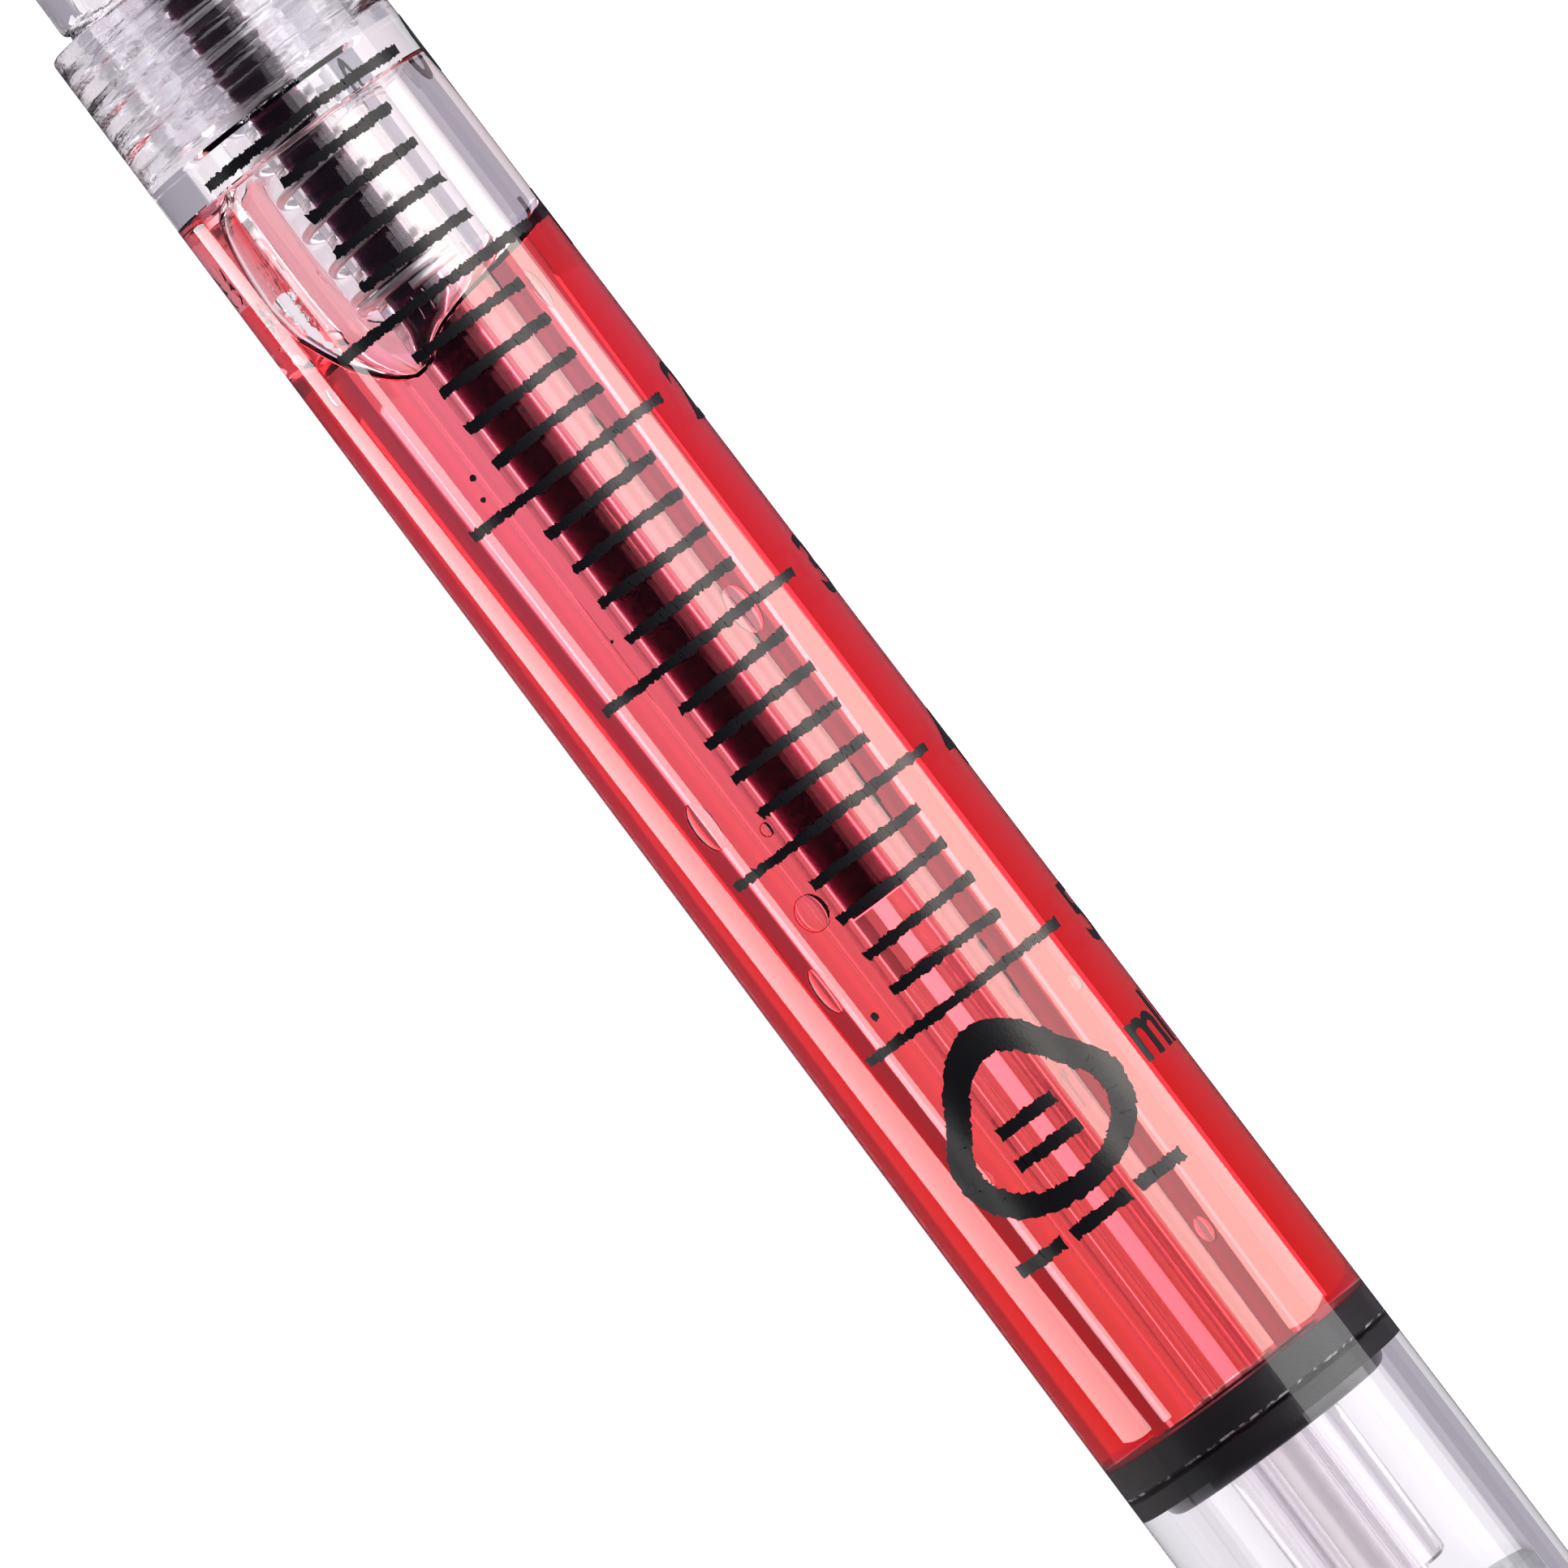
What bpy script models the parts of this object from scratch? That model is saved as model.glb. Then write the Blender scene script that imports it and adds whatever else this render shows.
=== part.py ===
"""Syringe-shaped retractable ballpoint pen, modelled as an assembly of separate pieces.

Frame: metres, +Z up. The pen lies along X with its writing end towards +X. The barrel's axis is
at the radius of its rear end above the ground, and the origin is below the middle of the whole length.
Lengths along the pen are measured backwards from the barrel's front face (written "back").
"""
import math

import bmesh
import bpy
from mathutils import Matrix, Vector

MM = 0.001

# ---- Driving dimensions --------------------------------------------------------------------------
BARREL_RADIUS = 6.27 * MM          # outside, at the rear end
BARREL_DRAFT = 0.37 * MM           # the front end's radius is this much smaller
BARREL_LENGTH = 84.0 * MM
NOSE_LENGTH = 26.0 * MM
TAIL_LENGTH = 25.0 * MM            # from the barrel's rear face to the back of the thumb plate
STROKE = 5.0 * MM

# Gaps between pieces
END_GAP = 0.3 * MM                 # face to face, between glued or resting pieces
RING_CLEARANCE = 0.05 * MM         # round a fixed ring or plug
SLIDE_CLEARANCE = 0.08 * MM        # round a sliding piece
SEAL_GAP = 0.1 * MM
FILL_CLEARANCE = 0.03 * MM         # round ink, grease and the point's plug
EDGE_ROUND = 0.25 * MM

# Refill
REFILL_RADIUS = 1.6 * MM
REFILL_BORE = 0.8 * MM
REFILL_BEHIND_BARREL = 1.0 * MM
INK_REAR = 45.0 * MM
FOLLOWER_LENGTH = 3.0 * MM
EAR_FRONT = 15.6 * MM
EAR_LENGTH = 1.2 * MM
EAR_THICKNESS = 0.5 * MM
EAR_ROOT = 0.2 * MM
EAR_SHORT = 0.15 * MM              # the ears stay this far inside the spring's outside
POINT_RADIUS = 1.15 * MM
POINT_SETBACK = 1.8 * MM           # from the nose's tip to the point's tip, retracted
POINT_LENGTH = 10.2 * MM
POINT_PLUG_LENGTH = 4.0 * MM
POINT_CYLINDER_LENGTH = 6.0 * MM
POINT_LIP_RADIUS = 0.5 * MM
BALL_RADIUS = 0.35 * MM
BALL_CLEARANCE = 0.03 * MM
BALL_SINK = 0.16 * MM              # the ball's centre lies this far inside the lip
POINT_TIP_AHEAD = NOSE_LENGTH - POINT_SETBACK
REFILL_FRONT_AHEAD = POINT_TIP_AHEAD - POINT_LENGTH
REFILL_REAR = BARREL_LENGTH + REFILL_BEHIND_BARREL

# Return spring, round the refill
WIRE_RADIUS = 0.2 * MM
SPRING_PLAY = 0.3 * MM             # between the refill and the coils
SPRING_PITCH = 1.7 * MM
SPRING_SEAT_GAP = 0.1 * MM
CLOSED_TURNS = 2.0
CLOSED_PITCH = 0.46 * MM
SPRING_RADIUS = REFILL_RADIUS + SPRING_PLAY + 2 * WIRE_RADIUS
EAR_REACH = SPRING_RADIUS - EAR_SHORT

# Barrel moulding: thread bore, bulkhead, ring chamber and tapered guide tube
THREAD_WALL = 0.95 * MM
THREAD_DEPTH = 6.4 * MM
BULKHEAD_THICKNESS = 1.7 * MM
CHAMBER_WALL_FRONT = 1.02 * MM
CHAMBER_WALL_REAR = 1.0 * MM
GUIDE_WALL_FRONT = 1.04 * MM
GUIDE_WALL_REAR = 0.9 * MM
GUIDE_PLAY_FRONT = 0.36 * MM       # between the spring and the guide tube's bore
GUIDE_PLAY_REAR = 0.45 * MM        # between the refill and the guide tube's bore
GUIDE_TAPER_REST = 2.9 * MM        # the bore's taper ends this far ahead of the seal
STUB_WALL = 0.55 * MM
STUB_SETBACK = 5.9 * MM            # from the barrel's rear face to the stub's end
CHAMBER_SETBACK = 16.1 * MM        # from the barrel's rear face to the chamber's rear end
THREAD_BORE_RADIUS = BARREL_RADIUS - BARREL_DRAFT - THREAD_WALL
CHAMBER_FRONT = THREAD_DEPTH + BULKHEAD_THICKNESS
CHAMBER_REAR = BARREL_LENGTH - CHAMBER_SETBACK
STUB_END = BARREL_LENGTH - STUB_SETBACK
GUIDE_BORE_FRONT = SPRING_RADIUS + GUIDE_PLAY_FRONT
GUIDE_BORE_REAR = REFILL_RADIUS + GUIDE_PLAY_REAR
GUIDE_ROOT_RADIUS = GUIDE_BORE_FRONT + GUIDE_WALL_FRONT
GUIDE_REAR_RADIUS = GUIDE_BORE_REAR + GUIDE_WALL_REAR
STUB_RADIUS = GUIDE_BORE_REAR + STUB_WALL

# Liquid and seals
LIQUID_CLEARANCE = 0.08 * MM
SEAL_THICKNESS = 1.4 * MM
SEAL_ROUND = 0.1 * MM
BACKING_ROUND = 0.6 * MM

# Nose cone
SPIGOT_LENGTH = 6.0 * MM
THREAD_CLEARANCE = 0.1 * MM
THREAD_HEIGHT = 0.45 * MM
THREAD_PITCH = 1.6 * MM
THREAD_FLANK = 3.2                 # the ridge's base is 2 / 3.2 of the pitch
SHOULDER_DROP = 0.01 * MM          # the shoulder is this much smaller than the thread bore
NOSE_TIP_RADIUS = 1.9 * MM
NOSE_NECK_DEPTH = 0.25 * MM
NOSE_NECK_LENGTH = 0.45 * MM
NOSE_BULGE = 0.85
SPRING_BORE_PLAY = 0.15 * MM
LEDGE_BEHIND_REFILL = 2.0 * MM     # from the refill tube's front end to the spring's ledge
REFILL_PLAY = 0.15 * MM            # round the refill tube and its point, in the nose
NOSE_SHOULDER_RADIUS = THREAD_BORE_RADIUS - SHOULDER_DROP
SPRING_LEDGE_AHEAD = REFILL_FRONT_AHEAD - LEDGE_BEHIND_REFILL
SPRING_BORE_RADIUS = SPRING_RADIUS + SPRING_BORE_PLAY
REFILL_BORE_RADIUS = REFILL_RADIUS + REFILL_PLAY
POINT_BORE_RADIUS = POINT_RADIUS + REFILL_PLAY

# Index sleeve and rotor
SLEEVE_BORE = 3.3 * MM
SLEEVE_WALL = 0.6 * MM
SLEEVE_AHEAD = 3.4 * MM            # the sleeve starts this far ahead of the barrel's rear face
SLEEVE_LENGTH = 12.0 * MM
SLEEVE_FIT = 0.1 * MM
RIB_COUNT = 4
RIB_HEIGHT = 0.3 * MM
RIB_ROOT = 0.2 * MM
RIB_ANGLE = 20.0
FIN_ANGLE = 16.0
FIN_PLAY = 0.1 * MM
FIN_LENGTH = 2.8 * MM
FIN_IN_RIBS = 0.8 * MM             # the fins reach this far in between the ribs
ROTOR_WALL_PLAY = 0.9 * MM
ROTOR_LENGTH = 4.4 * MM
ROTOR_GAP = 0.1 * MM
ROTOR_SPIGOT_PLAY = 0.1 * MM
ROTOR_SPIGOT_LENGTH = 1.5 * MM
TOOTH_COUNT = 8
TOOTH_HEIGHT = 0.5 * MM
TOOTH_GAP = 0.15 * MM
CROWN_PLAY = 0.4 * MM
CROWN_LENGTH = 3.0 * MM
CROWN_BORE = 1.2 * MM
SLEEVE_FRONT = BARREL_LENGTH - SLEEVE_AHEAD
SLEEVE_RADIUS = SLEEVE_BORE + SLEEVE_WALL
SLEEVE_SEAT = SLEEVE_RADIUS + SLEEVE_FIT        # bore of the plug and the flange
RIB_TIP_RADIUS = SLEEVE_BORE - RIB_HEIGHT
FIN_REACH = SLEEVE_BORE - FIN_PLAY
ROTOR_RADIUS = SLEEVE_BORE - ROTOR_WALL_PLAY
CROWN_RADIUS = RIB_TIP_RADIUS - CROWN_PLAY
ROTOR_FRONT = REFILL_REAR + ROTOR_GAP
FIN_FRONT = ROTOR_FRONT + END_GAP
RIB_FRONT = FIN_FRONT + FIN_LENGTH - FIN_IN_RIBS
CROWN_FRONT = ROTOR_FRONT + ROTOR_LENGTH + TOOTH_GAP + TOOTH_HEIGHT
CROWN_REAR = CROWN_FRONT + CROWN_LENGTH

# Rear plug, finger flange, plunger
PLUG_LENGTH = 4.1 * MM
PLUG_TAPER = 0.02 * MM
FLANGE_COLLAR_LENGTH = 3.0 * MM
FLANGE_THICKNESS = 2.4 * MM
FLANGE_SPAN = 26.0 * MM
WING_LENGTH = 6.5 * MM             # length of each wing's rounded end
FLANGE_BACK_LENGTH = 6.5 * MM
TAIL_DROP = 0.3 * MM
TAIL_TAPER = 0.5 * MM
ROD_RIB_THICKNESS = 1.2 * MM
ROD_SHOULDER_LENGTH = 1.2 * MM
ROD_STEP = 0.32 * MM               # the shoulder stands this much proud of the rod
PLATE_RADIUS = BARREL_RADIUS
PLATE_THICKNESS = 2.0 * MM
PLATE_ROUND = 0.5 * MM
HUB_WALL = 0.55 * MM
HUB_LENGTH = 2.2 * MM
RING_THICKNESS = 1.4 * MM
PLUG_FRONT = BARREL_LENGTH - PLUG_LENGTH
FLANGE_FRONT = BARREL_LENGTH + END_GAP
WING_FRONT = FLANGE_FRONT + FLANGE_COLLAR_LENGTH
WING_REAR = WING_FRONT + FLANGE_THICKNESS
FLANGE_REAR = WING_REAR + FLANGE_BACK_LENGTH
ROD_SHOULDER_RADIUS = RIB_TIP_RADIUS - SLIDE_CLEARANCE
ROD_RADIUS = ROD_SHOULDER_RADIUS - ROD_STEP
RING_BORE = ROD_RADIUS + SLIDE_CLEARANCE

# Facets
SEGMENTS = 48
SMALL_SEGMENTS = 24
SPRING_SEGMENTS = 14
WIRE_SIDES = 5
SMOOTH_ANGLE = math.radians(35)

TOTAL_LENGTH = NOSE_LENGTH + BARREL_LENGTH + TAIL_LENGTH
FRONT_X = TOTAL_LENGTH / 2 - NOSE_LENGTH        # x of the barrel's front face
AXIS_Z = BARREL_RADIUS


def x_of(back):
    """World x of a place that lies this far behind the barrel's front face."""
    return FRONT_X - back


def material(name, colour, roughness, metallic=0.0, transmission=0.0, alpha=1.0):
    mat = bpy.data.materials.new(name)
    mat.use_nodes = True
    shader = mat.node_tree.nodes["Principled BSDF"]
    shader.inputs["Base Color"].default_value = (*colour, 1.0)
    shader.inputs["Roughness"].default_value = roughness
    shader.inputs["Metallic"].default_value = metallic
    shader.inputs["Transmission Weight"].default_value = transmission
    shader.inputs["Alpha"].default_value = alpha
    mat.diffuse_color = (*colour, alpha)
    return mat


def add_object(name, mesh_data, origin_back, mat):
    """Put a finished bmesh into the scene with its origin on the pen's axis."""
    bmesh.ops.remove_doubles(mesh_data, verts=mesh_data.verts, dist=1e-7)
    bmesh.ops.recalc_face_normals(mesh_data, faces=mesh_data.faces)
    mesh = bpy.data.meshes.new(name)
    mesh_data.to_mesh(mesh)
    mesh_data.free()
    mesh.shade_smooth()
    mesh.set_sharp_from_angle(angle=SMOOTH_ANGLE)
    mesh.materials.append(mat)
    obj = bpy.data.objects.new(name, mesh)
    obj.location = (x_of(origin_back), 0, AXIS_Z)
    bpy.context.scene.collection.objects.link(obj)
    return obj


def turned(name, profile, origin_back, mat, segments=SEGMENTS):
    """A turned piece. The profile is a closed loop, or runs from the axis to the axis.

    Its points are (distance behind the barrel's front face, radius).
    """
    shape = bmesh.new()
    points = [shape.verts.new((origin_back - back, 0, radius)) for back, radius in profile]
    edges = [shape.edges.new(pair) for pair in zip(points, points[1:])]
    if profile[0][1] > 0:
        edges.append(shape.edges.new((points[-1], points[0])))
    bmesh.ops.spin(shape, geom=points + edges, cent=(0, 0, 0), axis=(1, 0, 0),
                   angle=2 * math.pi, steps=segments, use_merge=True)
    return add_object(name, shape, origin_back, mat)


def arc(centre_back, centre_radius, radius, start, end, steps=4):
    """Points of a round edge; 0 degrees points backwards and 90 degrees outwards."""
    points = []
    for i in range(steps + 1):
        angle = math.radians(start + (end - start) * i / steps)
        points.append((centre_back + radius * math.cos(angle), centre_radius + radius * math.sin(angle)))
    return points


def block(shape, low, high):
    """A box between two corners, added to a bmesh."""
    size = Vector(high) - Vector(low)
    middle = (Vector(high) + Vector(low)) / 2
    bmesh.ops.create_cube(shape, size=1.0, matrix=Matrix.Translation(middle) @ Matrix.Diagonal((*size, 1.0)))


def extruded(outline, front, length):
    """A prism along the pen: an outline in Y and Z at x = front, drawn out backwards."""
    shape = bmesh.new()
    face = shape.faces.new([shape.verts.new((front, y, z)) for y, z in outline])
    result = bmesh.ops.extrude_face_region(shape, geom=[face])
    moved = [item for item in result["geom"] if isinstance(item, bmesh.types.BMVert)]
    bmesh.ops.translate(shape, verts=moved, vec=(-length, 0, 0))
    return shape


def rod_shape(radius, front, rear, segments):
    """A cylinder on the axis between two x places."""
    shape = bmesh.new()
    place = Matrix.Translation(((front + rear) / 2, 0, 0)) @ Matrix.Rotation(math.pi / 2, 4, "Y")
    bmesh.ops.create_cone(shape, cap_ends=True, segments=segments, radius1=radius, radius2=radius,
                          depth=front - rear, matrix=place)
    return shape


def helper(name, shape, origin_back):
    """A cutter or an added shape: kept out of the build, used by booleans."""
    obj = add_object(name, shape, origin_back, materials["cutter"])
    obj.hide_render = True
    obj.display_type = "WIRE"
    return obj


def combine(obj, other, operation):
    boolean = obj.modifiers.new(operation.lower(), "BOOLEAN")
    boolean.operation = operation
    boolean.solver = "EXACT"
    boolean.object = other


def sector(shape, inner, outer, front, length, centre_angle, width, steps=3):
    """A block with curved inner and outer faces, round the axis; front is ahead, at larger x."""
    rings = []
    for x in (front, front - length):
        ring = []
        for radius, order in ((inner, range(steps + 1)), (outer, range(steps, -1, -1))):
            for i in order:
                angle = math.radians(centre_angle - width / 2 + width * i / steps)
                ring.append(shape.verts.new((x, radius * math.cos(angle), radius * math.sin(angle))))
        rings.append(ring)
    shape.faces.new(rings[0])
    shape.faces.new(rings[1][::-1])
    count = len(rings[0])
    for i in range(count):
        j = (i + 1) % count
        shape.faces.new((rings[0][j], rings[0][i], rings[1][i], rings[1][j]))


def guide_radius(back):
    """Outer radius of the tapered guide tube."""
    share = (back - CHAMBER_FRONT) / (CHAMBER_REAR - CHAMBER_FRONT)
    return GUIDE_ROOT_RADIUS + (GUIDE_REAR_RADIUS - GUIDE_ROOT_RADIUS) * share


def outer_radius(back):
    """Outside radius of the barrel, which widens towards the rear."""
    return BARREL_RADIUS - BARREL_DRAFT * (1 - back / BARREL_LENGTH)


def chamber_radius(back):
    """Bore radius of the barrel behind the bulkhead."""
    share = (back - CHAMBER_FRONT) / (BARREL_LENGTH - CHAMBER_FRONT)
    return outer_radius(back) - CHAMBER_WALL_FRONT - (CHAMBER_WALL_REAR - CHAMBER_WALL_FRONT) * share


def make_barrel():
    profile = [
        (0, THREAD_BORE_RADIUS),
        (0, outer_radius(0) - EDGE_ROUND),
        (EDGE_ROUND, outer_radius(EDGE_ROUND)),
        (BARREL_LENGTH - EDGE_ROUND, outer_radius(BARREL_LENGTH - EDGE_ROUND)),
        (BARREL_LENGTH, BARREL_RADIUS - EDGE_ROUND),
        (BARREL_LENGTH, chamber_radius(BARREL_LENGTH)),
        (CHAMBER_FRONT, chamber_radius(CHAMBER_FRONT)),
        (CHAMBER_FRONT, guide_radius(CHAMBER_FRONT)),
        (CHAMBER_REAR, guide_radius(CHAMBER_REAR)),
        (CHAMBER_REAR, STUB_RADIUS),
        (STUB_END - EDGE_ROUND, STUB_RADIUS),
        (STUB_END, STUB_RADIUS - EDGE_ROUND),
        (STUB_END, GUIDE_BORE_REAR),
        (CHAMBER_REAR - GUIDE_TAPER_REST, GUIDE_BORE_REAR),
        (THREAD_DEPTH, GUIDE_BORE_FRONT),
        (THREAD_DEPTH, THREAD_BORE_RADIUS),
    ]
    turned("barrel", profile, 0, materials["clear"])


def make_liquid():
    front = CHAMBER_FRONT + LIQUID_CLEARANCE
    rear = CHAMBER_REAR - LIQUID_CLEARANCE
    profile = [
        (front, guide_radius(front) + LIQUID_CLEARANCE),
        (front, chamber_radius(front) - LIQUID_CLEARANCE),
        (rear, chamber_radius(rear) - LIQUID_CLEARANCE),
        (rear, guide_radius(rear) + LIQUID_CLEARANCE),
    ]
    turned("coloured_liquid", profile, front, materials["liquid"])


def make_seals():
    """Two rings on the stub: the first fills the bore, the second has a rounded rear rim."""
    inner = STUB_RADIUS + RING_CLEARANCE
    front = CHAMBER_REAR + SEAL_GAP
    for name, round_edge in (("rear_seal", SEAL_ROUND), ("backing_seal", BACKING_ROUND)):
        outer = chamber_radius(front) - RING_CLEARANCE
        rear = front + SEAL_THICKNESS
        profile = [(front, inner), (front, outer)]
        profile += arc(rear - round_edge, outer - round_edge, round_edge, 90, 0)
        profile += [(rear, inner)]
        turned(name, profile, front, materials["rubber"])
        front = rear + SEAL_GAP


def nose_outline():
    """Outer curve of the nose, from its tip back to the shoulder."""
    steps = 10
    shoulder = -NOSE_NECK_LENGTH - EDGE_ROUND
    tip = EDGE_ROUND - NOSE_LENGTH
    points = [(tip - EDGE_ROUND, NOSE_TIP_RADIUS - EDGE_ROUND)]
    for i in range(steps + 1):
        share = i / steps
        back = tip + (shoulder - tip) * share
        bulge = math.sin(share * math.pi / 2) ** NOSE_BULGE
        points.append((back, NOSE_TIP_RADIUS + (NOSE_SHOULDER_RADIUS - NOSE_TIP_RADIUS) * bulge))
    return points


def make_nose():
    """The nose and its spigot. The spigot's thread is a ridge whose height follows the turn."""
    crest = THREAD_BORE_RADIUS - THREAD_CLEARANCE
    valley = crest - THREAD_HEIGHT
    rows = 26
    run_in = EDGE_ROUND
    outline = nose_outline()
    outline += [(-NOSE_NECK_LENGTH, NOSE_SHOULDER_RADIUS - NOSE_NECK_DEPTH),
                (0, crest)]
    bore = [(SPIGOT_LENGTH, SPRING_BORE_RADIUS),
            (-SPRING_LEDGE_AHEAD, SPRING_BORE_RADIUS),
            (-SPRING_LEDGE_AHEAD, REFILL_BORE_RADIUS),
            (-REFILL_FRONT_AHEAD - STROKE - END_GAP * 2, REFILL_BORE_RADIUS),
            (-REFILL_FRONT_AHEAD - STROKE - END_GAP * 3, POINT_BORE_RADIUS),
            (-NOSE_LENGTH, POINT_BORE_RADIUS)]
    thread_rows = [run_in + (SPIGOT_LENGTH - run_in) * i / rows for i in range(rows + 1)]

    def ridge(back, turn):
        phase = (back / THREAD_PITCH - turn) % 1.0
        height = max(0.0, 1 - abs(phase - 0.5) * THREAD_FLANK)
        fade = min(1.0, (back - run_in) / THREAD_PITCH, (SPIGOT_LENGTH - back) / THREAD_PITCH)
        return valley + THREAD_HEIGHT * height * max(0.0, fade)

    shape = bmesh.new()
    columns = []
    for k in range(SEGMENTS):
        turn = k / SEGMENTS
        angle = 2 * math.pi * turn
        profile = outline + [(back, ridge(back, turn)) for back in thread_rows] + bore
        columns.append([
            shape.verts.new((-back, radius * math.sin(angle), radius * math.cos(angle)))
            for back, radius in profile])
    count = len(columns[0])
    for k in range(SEGMENTS):
        here, there = columns[k], columns[(k + 1) % SEGMENTS]
        for i in range(count):
            j = (i + 1) % count
            shape.faces.new((here[i], here[j], there[j], there[i]))
    add_object("nose_cone", shape, 0, materials["clear"])


def make_spring():
    """Wire swept round a helix with closed turns at both ends."""
    front = -SPRING_LEDGE_AHEAD + SPRING_SEAT_GAP + WIRE_RADIUS
    rear = EAR_FRONT - SPRING_SEAT_GAP - WIRE_RADIUS
    closed_length = CLOSED_TURNS * CLOSED_PITCH
    open_length = rear - front - 2 * closed_length
    open_turns = round(open_length / SPRING_PITCH * 2) / 2
    turns = open_turns + 2 * CLOSED_TURNS
    steps = int(turns * SPRING_SEGMENTS)
    middle = SPRING_RADIUS - WIRE_RADIUS

    def place(turn):
        if turn < CLOSED_TURNS:
            return front + turn * CLOSED_PITCH
        if turn > turns - CLOSED_TURNS:
            return rear - (turns - turn) * CLOSED_PITCH
        return front + closed_length + open_length * (turn - CLOSED_TURNS) / open_turns

    shape = bmesh.new()
    rings = []
    for i in range(steps + 1):
        turn = turns * i / steps
        angle = 2 * math.pi * turn
        outward = Vector((0, math.sin(angle), math.cos(angle)))
        centre = Vector((-place(turn), 0, 0)) + outward * middle
        ring = []
        for k in range(WIRE_SIDES):
            around = 2 * math.pi * k / WIRE_SIDES
            offset = outward * math.cos(around) + Vector((math.sin(around), 0, 0))
            ring.append(shape.verts.new(centre + offset * WIRE_RADIUS))
        rings.append(ring)
    for here, there in zip(rings, rings[1:]):
        for k in range(WIRE_SIDES):
            j = (k + 1) % WIRE_SIDES
            shape.faces.new((here[k], here[j], there[j], there[k]))
    shape.faces.new(rings[0])
    shape.faces.new(rings[-1])
    add_object("return_spring", shape, 0, materials["steel"])


def make_refill():
    front = -REFILL_FRONT_AHEAD
    tube = turned("refill_tube", [(front, REFILL_BORE), (front, REFILL_RADIUS),
                                  (REFILL_REAR, REFILL_RADIUS), (REFILL_REAR, REFILL_BORE)],
                  EAR_FRONT, materials["tube"], SMALL_SEGMENTS)
    ears = bmesh.new()
    sunk = REFILL_RADIUS - EAR_ROOT
    for side in (-1, 1):
        low, high = sorted((side * sunk, side * EAR_REACH))
        block(ears, (-EAR_LENGTH, -EAR_THICKNESS / 2, low), (0, EAR_THICKNESS / 2, high))
    combine(tube, helper("ears", ears, EAR_FRONT), "UNION")

    ink_radius = REFILL_BORE - FILL_CLEARANCE
    ink_front = front + POINT_PLUG_LENGTH + END_GAP
    turned("ink_column", [(ink_front, 0), (ink_front, ink_radius), (INK_REAR, ink_radius), (INK_REAR, 0)],
           EAR_FRONT, materials["ink"], SMALL_SEGMENTS)
    grease_front = INK_REAR + FILL_CLEARANCE
    grease_rear = grease_front + FOLLOWER_LENGTH
    turned("ink_follower",
           [(grease_front, 0), (grease_front, ink_radius), (grease_rear, ink_radius), (grease_rear, 0)],
           EAR_FRONT, materials["grease"], SMALL_SEGMENTS)


def make_point():
    """Metal point: plug in the tube, cylinder, cone and a socket with a rolling ball in it."""
    front = -REFILL_FRONT_AHEAD
    tip = -POINT_TIP_AHEAD
    ball_centre = tip + BALL_SINK
    socket = BALL_RADIUS + BALL_CLEARANCE
    cylinder_front = front - POINT_CYLINDER_LENGTH
    lip = math.degrees(math.acos(BALL_SINK / socket))
    cup = arc(ball_centre, 0, socket, 0, 180 - lip, steps=6)
    profile = [(cup[0][0], 0)] + cup[1:]
    profile += [(tip, POINT_LIP_RADIUS),
                (cylinder_front, POINT_RADIUS),
                (front - END_GAP, POINT_RADIUS),
                (front - END_GAP, REFILL_BORE - FILL_CLEARANCE),
                (front + POINT_PLUG_LENGTH, REFILL_BORE - FILL_CLEARANCE),
                (front + POINT_PLUG_LENGTH, 0)]
    turned("refill_point", profile, front, materials["nickel"], SMALL_SEGMENTS)

    ball = bmesh.new()
    bmesh.ops.create_uvsphere(ball, u_segments=16, v_segments=10, radius=BALL_RADIUS)
    add_object("writing_ball", ball, ball_centre, materials["steel"])


def make_rear_plug():
    front = PLUG_FRONT
    rear = BARREL_LENGTH
    profile = [
        (front, SLEEVE_SEAT),
        (front, chamber_radius(front) - RING_CLEARANCE),
        (rear, chamber_radius(rear) - RING_CLEARANCE - PLUG_TAPER),
        (rear, SLEEVE_SEAT),
    ]
    turned("rear_plug", profile, front, materials["frosted"])


def make_flange():
    """Collar, wide plate with flat top and bottom, and a short tail round the mechanism, bored through."""
    tail_radius = BARREL_RADIUS - TAIL_DROP
    profile = [
        (FLANGE_FRONT, 0),
        (FLANGE_FRONT, BARREL_RADIUS - EDGE_ROUND),
        (FLANGE_FRONT + EDGE_ROUND, BARREL_RADIUS),
        (WING_REAR - END_GAP, BARREL_RADIUS),
        (WING_REAR + END_GAP, tail_radius),
        (FLANGE_REAR - EDGE_ROUND, tail_radius - TAIL_TAPER),
        (FLANGE_REAR, tail_radius - TAIL_TAPER - EDGE_ROUND),
        (FLANGE_REAR, 0),
    ]
    flange = turned("finger_flange", profile, FLANGE_FRONT, materials["clear"])
    flat = FLANGE_SPAN / 2 - WING_LENGTH
    steps = 8
    outline = []
    for side in (1, -1):
        for i in range(steps + 1):
            angle = math.pi / 2 - side * math.pi * i / steps
            if side < 0:
                angle = -math.pi / 2 - math.pi * i / steps
            outline.append((side * flat + WING_LENGTH * math.cos(angle), BARREL_RADIUS * math.sin(angle)))
    wings = extruded(outline, FLANGE_FRONT - WING_FRONT, FLANGE_THICKNESS)
    combine(flange, helper("wing_plate", wings, FLANGE_FRONT), "UNION")
    length = FLANGE_REAR - FLANGE_FRONT
    bore = rod_shape(SLEEVE_SEAT, length / 2, -length * 1.5, SEGMENTS)
    combine(flange, helper("flange_bore", bore, FLANGE_FRONT), "DIFFERENCE")


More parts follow.
